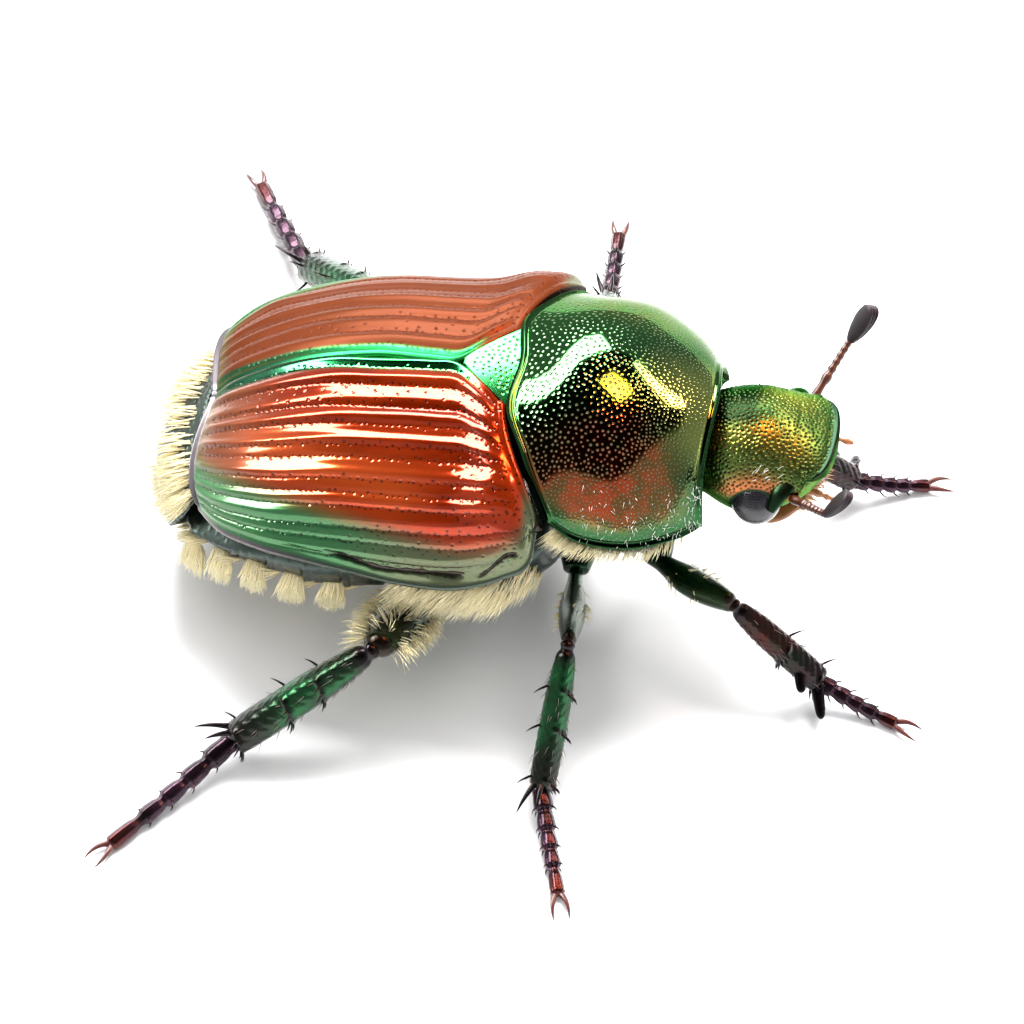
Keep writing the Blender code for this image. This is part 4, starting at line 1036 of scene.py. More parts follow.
def trunk_surface(keys, u, v):
    """The trunk's skin: u along its track, v from the left side over the back (0.25) and under the belly."""
    x, half_width, side, top, bottom, slant = track(keys, u).T
    c, s = np.cos(2 * np.pi * v), np.sin(2 * np.pi * v)
    over = s > 0
    ledge = LEDGE_REACH * bell(abs(s) - 0.3, 0.2) * over
    y = np.sign(c) * (half_width * abs(c) ** np.where(over, 0.8, 1) + ledge)
    reach = np.where(over, top - side, side - bottom)
    z = side + reach * np.sign(s) * abs(s) ** np.where(over, 1, BELLY_ROUNDNESS)
    return np.stack([x + slant * (z - SLANT_LEVEL), y, z], axis=1)


def build_trunk(name, node, keys, segments, rows, look, seed):
    """A length of the trunk, its belly in overlapping rings and its end rounded."""
    u, v = np.linspace(0, 1, rows), np.linspace(0, 1, TRUNK_COLUMNS, endpoint=False)
    points = sheet_points(partial(trunk_surface, keys), u, v)
    middle = points.mean(axis=(0, 1))
    normals = outward_normals(points, middle)
    part = np.repeat(((u * segments) % 1)[:, None], len(v), axis=1)
    belly = step_between(0.3, 0.1, np.sin(2 * np.pi * v))[None]
    height = (0.05 * part**3 - 0.05 * bell(part - 0.015, 0.03) - 0.02 * bell(part - 0.8, 0.05)) * belly
    places = points[::2, ::2]
    seeds = scattered(places[places[..., 2] < 3.3], 0.15, seed)
    drop, pit = pits(points, seeds, *TRUNK_PIT)
    rings = points + normals * (height + drop)[..., None]
    centre = rings[-1].mean(axis=0)
    turns = np.linspace(0, np.pi / 2, 10, endpoint=False)[1:, None, None]
    round_end = centre + (rings[-1] - centre) * np.cos(turns) - np.array([0.3, 0, 0]) * np.sin(turns)
    shape = facing_out(closed_loft(np.concatenate([rings, round_end])), middle)
    add_piece(name, shape, look, node, {"pit": pit.ravel()})


def pygidium_surface(u, v):
    """The pygidium: u from its upper edge to its tip, v from right (-1) to left (1)."""
    points = arch(track(PYGIDIUM_CROWN, u), track(PYGIDIUM_EDGE, u), abs(v), lean=1.6)
    points[:, 1] *= np.sign(v)
    return points


def build_pygidium(look):
    rows, columns = GRIDS["pygidium"]
    points = sheet_points(pygidium_surface, np.linspace(0, 1, rows), np.linspace(-1, 1, columns))
    normals = outward_normals(points, PYGIDIUM_MIDDLE)
    drop, pit = pits(points, scattered(points[::2, ::2], 0.1, seed=41), *PYGIDIUM_PIT)
    whole = with_rim(points + normals * drop[..., None], normals, *PYGIDIUM_RIM)
    shape = facing_out(closed_sheet(whole, PYGIDIUM_MIDDLE), PYGIDIUM_MIDDLE)
    marks = {"pit": np.pad(pit, RIM_STEPS + 1).ravel()}
    add_piece("pygidium_plate", shape, look, "pygidium", marks)


# Head


def ringed_surface(keys, u, v):
    """The head or mouth: u along its rings, v from the left side over the crown (0.25) and under."""
    x, half_width, crown, side, throat = track(keys, u).T
    c, s = np.cos(2 * np.pi * v), np.sin(2 * np.pi * v)
    bow, corner = (np.interp(x, *np.transpose(keys)) for keys in (HEAD_BOW, HEAD_CORNER))
    reach = np.where(s > 0, crown - side, side - throat)
    return np.stack([x - bow * c**2 - corner * abs(c) ** 7, half_width * c, side + reach * s], axis=1)


def head_relief(points, front, top, eyes):
    """The height of the punctures, front rim, seam and ridges before the eyes, and the punctures' mark."""
    x, y, z = (points[..., i] for i in range(3))
    drop, pit = pits(points, scattered(points[::2, ::2], HEAD_PIT_SPACING, seed=51), *HEAD_PIT)
    plain = step_between(0.06, 0.1, front) * step_between(0.44, 0.48, eyes) * (0.4 + 0.6 * top)
    height = drop * plain
    height += 0.03 * bell(front - 0.02, 0.035) * top - 0.02 * bell(front - 0.12, 0.06) * top
    height -= 0.008 * bell(x - 4.52 - 0.05 * np.cos(3 * y), 0.035) * top
    height += 0.07 * bell(x - 4.28, 0.13) * bell(z - 3.98, 0.14) * step_between(0.7, 0.95, abs(y))
    return height, pit * plain


def head_marks(points, front, top, eyes):
    """Where the head has its dark front rim, gold and copper, and painted shade round the eyes and at the
    rear of the crown.
    """
    x, y, z = (points[..., i] for i in range(3))
    return {
        # edge: the front rim's own dark colour, and painted shade in a ring where the head meets each eye.
        "edge": np.maximum(step_between(0.12, 0.07, front) * top, step_between(0.47, 0.43, eyes)),
        "gold": bell(abs(y) - 0.52, 0.3) * step_between(5.0, 4.55, x) * step_between(3.0, 3.3, x),
        "copper": bell(eyes - 0.5, 0.2) * step_between(3.8, 4.0, z),
        # rear: painted shade at the rear of the crown, from its middle to the far side.
        "rear": step_between(4.35, 3.75, x) * step_between(-0.55, -0.15, y),
    }


def build_head():
    """The head's shell, with a ridge in front of each eye."""
    u = np.linspace(0, 1, HEAD_ROWS)
    halves = zip((0, 0.5), (0.5, 1), HEAD_COLUMNS)
    v = np.concatenate([np.linspace(low, high, count, endpoint=False) for low, high, count in halves])
    points = sheet_points(partial(ringed_surface, HEAD_RINGS), u, v)
    middle = points.mean(axis=(0, 1))
    *_, front = from_edges(points)
    eyes = [np.linalg.norm(points - mirrored(EYE_CENTRE, side), axis=-1) for side in SIDES.values()]
    spots = front, step_between(-0.1, 0.35, np.sin(2 * np.pi * v))[None], np.minimum(*eyes)
    height, pit = head_relief(points, *spots)
    marks = {"pit": pit, **head_marks(points, *spots)}
    shell = points + outward_normals(points, middle) * height[..., None]
    ends = rounded_end(shell[-1], 4.4, 1, *HEAD_FRONT)
    marks["edge"] = np.pad(marks["edge"], ((0, len(ends)), (0, 0)), mode="edge")
    marks = {name: values.ravel() for name, values in marks.items()}
    shape = facing_out(closed_loft(np.concatenate([shell, ends])), middle)
    look = head_look()
    add_piece("head_shell", shape, look, "head", marks)
    for side_name, side in SIDES.items():
        path = straight(*(mirrored(end, side) for end in CANTHUS), sag=-0.06)
        shape, share = limb(path, CANTHUS_SIZES, *GRIDS["canthus"])
        marks = {"edge": np.full(share.size, 0.9)}
        add_piece("canthus_" + side_name, shape, look, marks=marks)


def ball(centre, size):
    """An eye's closed ball about a centre."""
    rows, columns = GRIDS["eye"]
    turn = np.linspace(0, np.pi, rows + 2)[1:-1, None]
    round_turn = np.linspace(0, 2 * np.pi, columns, endpoint=False)[None]
    rings = np.stack([
        np.sin(turn) * np.cos(round_turn), np.sin(turn) * np.sin(round_turn), np.cos(turn) + 0 * round_turn,
    ], axis=-1)
    pole = np.array([0, 0, size])
    return facing_out(closed_loft(centre + rings * size, centre + pole, centre - pole), centre)


def limb_parts(path, sizes, share, turn):
    """The axis of a limb at shares of its path, the way from it to the skin there, and the way along."""
    along = unit(track(path, share + 0.01) - track(path, share - 0.01))
    side = unit(np.cross((0, 0, 1), along))
    over = np.cross(along, side)
    across, thick = track(sizes, share).T
    offset = side * (across * np.cos(turn))[:, None] + over * (thick * np.sin(turn))[:, None]
    return track(path, share), offset, along


def limb(path, sizes, rows, columns, relief=None, ends=(0.05, 0.05)):
    """A closed limb with rounded ends, and with a relief of (share, turn) on its skin."""
    t = np.linspace(0, 1, rows)
    shares = t - np.sin(2 * np.pi * t) / (4 * np.pi)
    turns = np.linspace(0, 2 * np.pi, columns, endpoint=False)
    share, turn = (grid.ravel() for grid in np.meshgrid(shares, turns, indexing="ij"))
    axis, offset, _ = limb_parts(path, sizes, share, turn)
    start, end = (np.clip(1 - s / room, 0, 1) for s, room in ((share, ends[0]), (1 - share, ends[1])))
    round_off = np.sqrt(np.clip(1 - np.maximum(start, end) ** 2, 1e-4, 1))
    if relief is not None:
        offset = offset + unit(offset) * relief(share, turn)[:, None]
    rings = (axis + offset * round_off[:, None]).reshape(rows, columns, 3)
    return facing_out(closed_loft(rings), axis.mean(axis=0)), share.reshape(rows, columns)


def straight(start, end, sag=0.0):
    """A path from start to end, its middle let down by sag."""
    start, end = np.array(start, float), np.array(end, float)
    return ((0, *start), (0.5, *((start + end) / 2 - (0, 0, sag))), (1, *end))


def round_sizes(keys, radius):
    return [(share, wide * radius, wide * radius) for share, wide in keys]


def thorn(root, tip, bend, radius, sides=7, steps=7):
    """A curved, tapered spine from a root to a fine tip, its middle moved by bend."""
    root, tip, bend = (np.array(place, float) for place in (root, tip, bend))
    share = np.linspace(0, 1, steps, endpoint=False)[:, None, None]
    along = unit(tip - root)
    side = unit(np.cross(along, (0.31, 0.47, 0.83)))
    over = np.cross(along, side)
    turn = np.linspace(0, 2 * np.pi, sides, endpoint=False)[None, :, None]
    axis = root + (tip - root) * share + bend * np.sin(np.pi * share)
    rings = axis + radius * (1 - share) ** 0.7 * (side * np.cos(turn) + over * np.sin(turn))
    return facing_out(closed_loft(rings, end=tip), axis.mean(axis=(0, 1)))


def build_mouth(look):
    """The mouthparts, with a jaw at each side and the lip above."""
    rows, columns = GRIDS["mouth"]
    turns = np.linspace(0, 1, columns, endpoint=False)
    rings = sheet_points(partial(ringed_surface, MOUTH_RINGS), np.linspace(0, 1, rows), turns)
    shapes = [facing_out(closed_loft(rings), rings.mean(axis=(0, 1)))]
    for side in (1, -1):
        path = straight(*(mirrored(end, side) for end in JAW), sag=-0.06)
        shapes.append(limb(path, round_sizes(JAW_OUTLINE, JAW_RADIUS), *GRIDS["jaw"])[0])
    shapes.append(limb(straight(*LIP), LIP_SIZES, *GRIDS["lip"])[0])
    add_piece("mouth", together(shapes), look, "mouthparts")


def build_feeler(side_name, side, stalk_look, club_look):
    """A feeler's beaded stalk, and the club of three leaves at its end."""
    base = mirrored(ANTENNA_BASE, side)
    bend, tip = (np.array(ends[side_name]) for ends in (ANTENNA_BEND, CLUB_TIP))
    along = unit(tip - bend)
    path = straight(base - unit(bend - base) * 0.2, bend + along * 0.08)
    stalk, _ = limb(path, round_sizes(STALK_BEADS, STALK_RADIUS), *GRIDS["stalk"])
    name = f"antenna_{side_name}_stalk"
    add_piece("beaded_" + name, stalk, stalk_look, name)
    over = np.cross(along, unit(np.cross((0, 0, 1), along)))
    leaves = []
    for share in (-1, 0, 1):
        path = straight(bend + along * 0.02, tip + over * share * LEAF_SPREAD[side_name])
        leaves.append(limb(path, LEAF_SIZES, *GRIDS["leaf"], ends=(0.12, 0.1))[0])
    name = f"antenna_{side_name}_club"
    add_piece("leafed_" + name, together(leaves), club_look, name)


def build_face():
    eye = eye_look()
    horn = horn_look("mouth_red_brown", (0.2, 0.06, 0.02), (0.34, 0.14, 0.04))
    stalk = horn_look("feeler_red_brown", (0.04, 0.009, 0.004), (0.08, 0.018, 0.006), coat=0.1)
    club = horn_look("club_purple_black", (0.006, 0.002, 0.005), (0.014, 0.004, 0.01), 0.55, coat=0.05)
    build_mouth(horn)
    for side_name, side in SIDES.items():
        eyeball = ball(mirrored(EYE_CENTRE, side), EYE_RADIUS)
        add_piece("eyeball_" + side_name, eyeball, eye, "eye_" + side_name)
        root, tip = mirrored(PALP_ROOT, side), mirrored(PALP_TIP, side)
        path, sizes = straight(root - (0.15, 0, 0), tip), round_sizes(PALP_OUTLINE, PALP_RADIUS)
        palp, _ = limb(path, sizes, *GRIDS["palp"])
        add_piece("feeler_palp_" + side_name, palp, horn, "palp_" + side_name)
        build_feeler(side_name, side, stalk, club)


# Legs


def add_leg_part(leg, part, shape, look, end_mark):
    name = f"leg_{leg}_{part}"
    add_piece("shell_" + name, shape, look, name, {"end": end_mark})


def build_femur(leg, pair, root, knee, look):
    across, thick = FEMUR_HALF_SIZE[pair]
    path = straight(root, knee + unit(knee - root) * 0.06, FEMUR_SAG[pair])
    sizes = [(share, a * across, b * thick) for share, a, b in FEMUR_OUTLINE]
    shape, share = limb(path, sizes, *GRIDS["femur"], lambda s, t: 0.012 * np.cos(2 * t) * bell(s - 0.5, 0.3))
    end_mark = step_between(0.95, 0.98, share).ravel()
    add_leg_part(leg, "femur", shape, look, end_mark)
    return path, sizes


def comb_rise(pair, low_side, s, t):
    """The raised, slanting seats of the combs of spines, on the outer side and below."""
    across = step_between(-0.35, 0.1, np.cos(t - low_side) - 0.4 * np.sin(t))
    return sum(bell(s - comb + COMB_SLANT * np.sin(t), 0.016) * across for comb in SPINE_COMBS[pair])


def skin_at(path, sizes, share, turn):
    """A place on a limb's skin, the way outward there and the way along."""
    axis, offset, along = (part[0] for part in limb_parts(path, sizes, np.array([share]), np.array([turn])))
    return axis + offset, unit(offset), along


def spine(skin, up, ahead, length, radius, sink=0.04, bend=0.03, **fineness):
    """A spine from a place on a skin, that leans by its shares up and ahead, with its full mark."""
    place, outward, forward = skin
    tip = place + (outward * up + forward * ahead) * length
    return thorn(place - outward * sink, tip, outward * bend, radius, **fineness), 1.0


def tibia_combs(pair, low_side, on_tibia, draw):
    """The combs of spines across a tibia, and the two spines beside each comb."""
    parts = []
    for comb in SPINE_COMBS[pair]:
        for turn in low_side + np.linspace(-0.7, 0.7, SPINES_IN_COMB) * np.pi / 2 - 0.4 * np.cos(low_side):
            turn += draw.uniform(-0.08, 0.08)
            skin = on_tibia(comb - COMB_SLANT * np.sin(turn), turn)
            parts.append(spine(skin, 0.7, 0.72, 0.17 * draw.uniform(0.7, 1.3), 0.024))
        for turn in (low_side + 2.6, low_side - 2.4):
            parts.append(spine(on_tibia(comb - 0.05, turn), 0.8, 0.6, 0.26 * draw.uniform(0.8, 1.2), 0.026))
    return parts


def tibia_teeth(low_side, on_tibia):
    """A front tibia's two digging teeth and its spur."""
    parts = []
    for share, length in TEETH:
        place, outward, forward = on_tibia(share, low_side)
        tip = place + (outward * 0.85 + forward * 0.6) * length
        tip[2] = max(tip[2], FOOT_RISE)
        tooth = straight(place - outward * 0.14, tip)
        parts.append((limb(tooth, TOOTH_SIZES, *GRIDS["tooth"], ends=(0.05, 0.16))[0], 1.0))
    return [*parts, spine(on_tibia(0.96, -np.pi / 2), 0.1, 0.35, 1.0, 0.04, sink=0.0)]


def tibia_spurs(side, on_tibia):
    """The two long spurs at the end of a middle or hind tibia."""
    parts = []
    for turn, length in SPURS:
        skin = on_tibia(0.95, np.pi / 2 + side * turn)
        parts.append(spine(skin, 0.47, 0.85, length, 0.055, sink=0.06, bend=0.04, sides=12, steps=12))
    return parts


def build_tibia(leg, pair, side, knee, ankle, look, draw):
    thin, wide = TIBIA_RADIUS[pair]
    along = unit(ankle - knee)
    path = straight(knee - along * 0.02, ankle + along * 0.03)
    sizes = round_sizes([(s, swell * (thin + (wide - thin) * s)) for s, swell in TIBIA_OUTLINE], 1)
    low_side = np.pi if (side < 0) == (pair == "front") else 0.0

    def relief(s, t):
        grain = np.sin(9 * t + 23 * s) * np.sin(71 * s + 3 * np.cos(2 * t)) + 0.7 * np.sin(7 * t - 97 * s)
        ribs = (0.008 * np.cos(5 * t) + 0.0035 * grain) * step_between(0.05, 0.2, s)
        return ribs + 0.03 * comb_rise(pair, low_side, s, t) - 0.04 * bell(s - 0.07, 0.025)

    shape, share = limb(path, sizes, *GRIDS["tibia"], relief)
    turns = np.linspace(0, 2 * np.pi, share.shape[1], endpoint=False)
    black = np.maximum(step_between(0.22, 0.08, share), 0.85 * step_between(0.55, 0.95, share))
    parts = [(shape, np.maximum(black, comb_rise(pair, low_side, share, turns)))]
    on_tibia = partial(skin_at, path, sizes)
    parts += tibia_combs(pair, low_side, on_tibia, draw)
    parts += tibia_teeth(low_side, on_tibia) if pair == "front" else tibia_spurs(side, on_tibia)
    shape, end_mark = merged(parts)
    add_leg_part(leg, "tibia", shape, look, end_mark)
    return path, sizes


def tarsus_sizes(first, last):
    """The girth along a tarsus, which swells towards the end of each segment."""
    sizes = [(0.0, 0.6 * first, 0.6 * first)]
    for low, high in zip(TARSUS_SEGMENT_ENDS, TARSUS_SEGMENT_ENDS[1:]):
        for part, swell in TARSUS_SWELL:
            share = low + (high - low) * part
            radius = swell * (first + (last - first) * share)
            sizes.append((share, radius, 0.92 * radius))
    return [*sizes, (1.0, 0.6 * last, 0.6 * last)]


def build_tarsus(leg, pair, start, end, look, draw):
    """The five segments of a foot, with bristles round their ends."""
    path, sizes = straight(start, end, 0.05), tarsus_sizes(*TARSUS_RADIUS[pair])
    shape, share = limb(path, sizes, *GRIDS["tarsus"], lambda s, t: 0.006 * np.cos(7 * t))
    parts = [(above_floor(shape), step_between(0.7, 0.95, share))]
    for segment_end in TARSUS_SEGMENT_ENDS[1:-1]:
        for turn in np.linspace(-0.25, 1.25, BRISTLES_ROUND_TARSUS) * np.pi:
            spot = limb_parts(path, sizes, np.array([segment_end - 0.025]), np.array([turn]))
            axis, offset, ahead = (part[0] for part in spot)
            outward = unit(offset)
            tip = axis + offset + (outward * 0.4 + ahead * 0.9) * 0.14 * draw.uniform(0.7, 1.3)
            tip[2] = max(tip[2], 0.01)
            parts.append((thorn(axis + offset * 0.8, tip, outward * 0.02, 0.018), 0.0))
    shape, end_mark = merged(parts)
    add_leg_part(leg, "tarsus", shape, look, end_mark)


def build_claws(leg, level, end, look):
    """Two claws that spread from a foot's end and reach down to the floor."""
    across = np.cross((0, 0, 1), level)
    claws = []
    for spread in (-1, 1):
        base = end - level * 0.08 + across * spread * 0.03
        tip = end + level * CLAW_LENGTH + across * spread * 0.13 - np.array([0, 0, FOOT_RISE - 0.015])
        bend = np.array([0, 0, 0.05]) + across * spread * 0.04
        claws.append(thorn(base, tip, bend, 0.06, sides=14, steps=20))
    add_piece("claws_" + leg, above_floor(together(claws)), look)


def build_leg(leg, looks):
    """One leg; what comes back is the path and sizes of its femur and of its tibia."""
    pair, side_name = leg.split("_")
    side = SIDES[side_name]
    draw = np.random.default_rng(61 + len(leg) * 3 + side)
    root, knee, ankle, foot = (np.array(joint, float) for joint in LEG_JOINTS[leg])
    femur = build_femur(leg, pair, root, knee, looks["femur"])
    tibia_look = looks["front_tibia" if pair == "front" else "tibia"]
    tibia = build_tibia(leg, pair, side, knee, ankle, tibia_look, draw)
    forward = unit(foot - ankle)
    level = unit(forward * (1, 1, 0))
    start = ankle + unit(forward + unit(ankle - knee)) * ANKLE_ROOM - forward * 0.12
    end = foot - level * CLAW_LENGTH + np.array([0, 0, FOOT_RISE])
    build_tarsus(leg, pair, start, end, looks["tarsus"], draw)
    build_claws(leg, level, end, looks["claw"])
    return femur, tibia


def build_hips(look):
    """The joints between trunk and legs, mostly out of sight."""
    shapes = []
    for joints in LEG_JOINTS.values():
        root, knee = np.array(joints[0]), np.array(joints[1])
        inner = root * (1, 0.25, 1) + (0, 0, 0.3)
        shapes.append(limb(straight(inner, root + unit(knee - root) * 0.3), HIP_SIZES, *GRIDS["hip"])[0])
    add_piece("hips", together(shapes), look)


def build_legs():
    looks = {part: leg_look(name, *colours) for part, (name, *colours) in LEG_LOOKS.items()}
    looks["claw"] = horn_look("claw_red_brown", (0.12, 0.02, 0.015), (0.03, 0.008, 0.008))
    return {leg: build_leg(leg, looks) for leg in LEG_JOINTS}


# Hair


def hair_piece(name, look, roots, ways, bends, lengths, radius, shares, seed=0):
    """Single hairs as fine three-sided spikes that start along ways and curve towards bends.

    The shares u and v say where on the skin's unwrap each hair has its patch.
    """
    draw = np.random.default_rng(seed)
    count = len(roots)
    lengths = lengths[:, None]
    ways = unit(ways + draw.normal(0, 0.12, ways.shape))
    side = unit(np.cross(ways, draw.normal(0, 1, (count, 3))))
    over = np.cross(ways, side)
    patches = np.stack([0.02 + 0.96 * (share % 1) for share in shares], axis=1)
    points, spots, tips = [], [], []
    for share, wide in HAIR_OUTLINE:
        axis = roots + lengths * (ways * share + bends * share**2)
        for turn in 2 * np.pi * np.arange(3) / 3:
            points.append(axis + radius * wide * (side * np.cos(turn) + over * np.sin(turn)))
            spots.append(patches + HAIR_PATCH * wide * np.array([np.cos(turn), np.sin(turn)]))
            tips.append(np.full(count, max(share, 0)))
    points.append(roots + lengths * (ways + bends))
    spots.append(patches)
    tips.append(np.ones(count))
    corner = np.arange(3)
    after = (corner + 1) % 3
    band = np.stack([corner, after, after + 3, corner + 3], axis=1)
    one_hair = np.concatenate([band, band + 3]), np.array([(6, 7, 9), (7, 8, 9), (8, 6, 9), (2, 1, 0)])
    start = np.arange(count)[:, None, None] * len(points)
    faces = [(start + face_set).reshape(-1, face_set.shape[1]) for face_set in one_hair]
    points, spots = (np.stack(parts, axis=1).reshape(-1, parts[0].shape[1]) for parts in (points, spots))
    points[:, 2] = np.maximum(points[:, 2], 0.005)
    marks = {"tip": np.stack(tips, axis=1).ravel()}
    add_piece(name, (points, faces), look, marks=marks, patches=spots)


def rooted(surface, u, v, middle):
    """Points of a surface at shares u and v, and the ways outward and along u there."""
    place = surface(u, v)
    along, across = unit(surface(u + 0.003, v) - place), unit(surface(u, v + 0.003) - place)
    outward = unit(np.cross(along, across))
    outward *= np.sign((outward * (place - np.array(middle))).sum(axis=1, keepdims=True))
    return place, outward, along


def build_side_tufts(side_name, side, look):
    """The five white tufts along one side of the abdomen."""
    draw = np.random.default_rng(71 + side)
    roots, ways = [], []
    for x, height in SIDE_TUFTS:
        radius, turn = np.sqrt(draw.uniform(0, 1, HAIRS_IN_TUFT)), draw.uniform(0, 2 * np.pi, HAIRS_IN_TUFT)
        ahead, down = 0.17 * radius * np.cos(turn), 0.14 * radius * np.sin(turn)
        places = np.array([track_at(ABDOMEN_RINGS, x + a) for a in ahead])
        roots.append(np.stack([x + ahead, side * (places[:, 1] - 0.03), height - down], axis=1))
        ways.append(np.stack([0.7 * ahead - 0.1, np.full(len(turn), 0.6 * side), -0.75 - 1.0 * down], axis=1))
    roots, ways = np.concatenate(roots), unit(np.concatenate(ways))
    bends = np.array([-0.04, -0.05 * side, -0.2])
    lengths = draw.uniform(*TUFT_LENGTHS, len(roots))
    name, shares = "side_tufts_" + side_name, (-roots[:, 0] / 8, roots[:, 2] / 6)
    hair_piece(name, look, roots, ways, bends, lengths, TUFT_HAIR, shares, seed=73)


def build_pygidium_tufts(look):
    """The two white tufts on the pygidium, and the thin hair between its edge and them."""
    draw = np.random.default_rng(75)
    u, v = [], []
    for side in (1, -1):
        u.append(PYGIDIUM_TUFT[0] + draw.normal(0, 0.07, HAIRS_IN_PYGIDIUM_TUFT))
        v.append(side * (PYGIDIUM_TUFT[1] + draw.normal(0, 0.12, HAIRS_IN_PYGIDIUM_TUFT)))
    u.append(draw.uniform(0.08, 0.45, LOOSE_PYGIDIUM_HAIRS))
    v.append(draw.uniform(-0.9, 0.9, LOOSE_PYGIDIUM_HAIRS))
    u, v = np.concatenate(u), np.concatenate(v)
    roots, outward, along = rooted(pygidium_surface, u, v, PYGIDIUM_MIDDLE)
    ways, bends = unit(outward * 0.5 + along * 0.75), along * 0.3
    lengths, shares = draw.uniform(*TUFT_LENGTHS, len(roots)), (u, v / 2 + 0.5)
    hair_piece("pygidium_tufts", look, roots, ways, bends, lengths, TUFT_HAIR, shares)


def grow(name, look, ground, up, lean, bend, lengths, radius, seed=0):
    """Hair on a ground of (surface, u, v, middle), which rises from the skin by a share and leans one way."""
    roots, outward, _ = rooted(*ground)
    ways = unit(outward * up + np.array(lean))
    hair_piece(name, look, roots, ways, np.array(bend), lengths, radius, ground[1:3], seed)


def track_at(keys, x):
    """The values of a trunk's track at a place x."""
    fine = np.linspace(0, 1, 60)
    places = track(keys, fine)
    share = np.interp(-x, -places[:, 0], fine)
    return track(keys, share)[0]


def build_fringes(look):
    """Pale hair along the thorax, under the pronotum's edges and in a row on each ring of the belly."""
    for side_name, side in SIDES.items():
        draw = np.random.default_rng(81 + side)
        u = draw.uniform(0.05, 1.0, THORAX_HAIRS)
        v = 0.01 + draw.uniform(-0.1, 0.04, THORAX_HAIRS)
        ground = partial(trunk_surface, THORAX_RINGS), u, v if side > 0 else 0.5 - v, (-0.4, 0, 2.9)
        lean, lengths = (-0.55, 0.12 * side, -0.3), draw.uniform(0.26, 0.5, THORAX_HAIRS)
        name = "thorax_fringe_" + side_name
        grow(name, look, ground, 0.6, lean, FRINGE_BEND, lengths, 0.01, seed=83)

        u = 0.04 + 0.86 * draw.uniform(0, 1, PROTHORAX_HAIRS) ** 2.2
        v = draw.uniform(0.05, 0.22, PROTHORAX_HAIRS)
        ground, lean = (prothorax_under, u, v if side > 0 else 1 - v, (1.8, 0, 4.4)), (-0.35, 0.35 * side, 0)
        lengths = draw.uniform(0.18, 0.34, PROTHORAX_HAIRS) * np.interp(u, (0, 0.4, 1), (1.2, 0.7, 1))
        name = "prothorax_fringe_" + side_name
        grow(name, look, ground, 0.75, lean, FRINGE_BEND, lengths, 0.009, seed=85)

    draw = np.random.default_rng(87)
    ring = draw.integers(0, SEGMENTS_OF_BELLY, BELLY_HAIRS)
    u = np.clip((ring + 0.7 + draw.normal(0, 0.07, BELLY_HAIRS)) / SEGMENTS_OF_BELLY, 0, 0.99)
    ground = partial(trunk_surface, ABDOMEN_RINGS), u, draw.uniform(0.53, 0.97, BELLY_HAIRS), (-3.4, 0, 2.6)
    lengths = draw.uniform(0.25, 0.45, BELLY_HAIRS)
    grow("belly_hair", look, ground, 0.35, (-0.9, 0, 0), (-0.1, 0, 0.05), lengths, 0.012)


def build_leg_hair(legs, cream, dark):
    """Pale hair along each femur, long and dense on the hind ones, and short dark hair on each tibia."""
    for leg, (femur, tibia) in legs.items():
        draw = np.random.default_rng(91 + len(leg))
        hind = leg.startswith("hind")
        count = HIND_FEMUR_HAIRS if hind else FEMUR_HAIRS
        u = draw.uniform(0.3, 0.92 if hind else 0.7, count)
        v = draw.choice((0.0, 0.5, 0.25), count, p=(0.4, 0.4, 0.2)) + draw.normal(0, 0.05, count)
        axis, offset, along = limb_parts(*femur, u, 2 * np.pi * v)
        roots, ways, bends = axis + offset, unit(unit(offset) * 0.75 + along * 0.6), along * 0.25
        lengths = draw.uniform(0.25, 0.5, count) * (1.0 if hind else 0.45)
        name = f"hair_{leg}_femur"
        hair_piece(name, cream, roots, ways, bends, lengths, 0.012, (u, v))

        u, v = draw.uniform(0.15, 0.95, TIBIA_HAIRS), draw.uniform(0, 1, TIBIA_HAIRS)
        axis, offset, along = limb_parts(*tibia, u, 2 * np.pi * v)
        roots, ways, bends = axis + offset, unit(unit(offset) * 0.5 + along * 0.8), along * 0.1
        lengths = draw.uniform(0.1, 0.18, TIBIA_HAIRS)
        name = f"hair_{leg}_tibia"
        hair_piece(name, dark, roots, ways, bends, lengths, 0.007, (u, v))


def build_prothorax_setae(look, draw):
    """Sparse short hairs that lie every way on the pronotum's front sides."""
    side = draw.choice((-1, 1), PROTHORAX_SETAE)
    u = 1 - 0.75 * draw.uniform(0, 1, PROTHORAX_SETAE) ** 1.5
    v = side * draw.uniform(0.6, 0.98, PROTHORAX_SETAE)
    roots, outward, _ = rooted(pronotum_top, u, v, PROTHORAX_MIDDLE)
    sideways = draw.normal(0, 1, (PROTHORAX_SETAE, 3))
    sideways -= outward * (sideways * outward).sum(axis=1, keepdims=True)
    lateral = side[:, None] * np.array([0, 0.6, 0])
    ways, bends = unit(outward * 0.25 + lateral + 0.35 * sideways), -0.08 * outward
    lengths, shares = draw.uniform(0.06, 0.13, PROTHORAX_SETAE), (u, v / 2 + 0.5)
    name = "prothorax_setae"
    hair_piece(name, look, roots, ways, bends, lengths, 0.0035, shares)


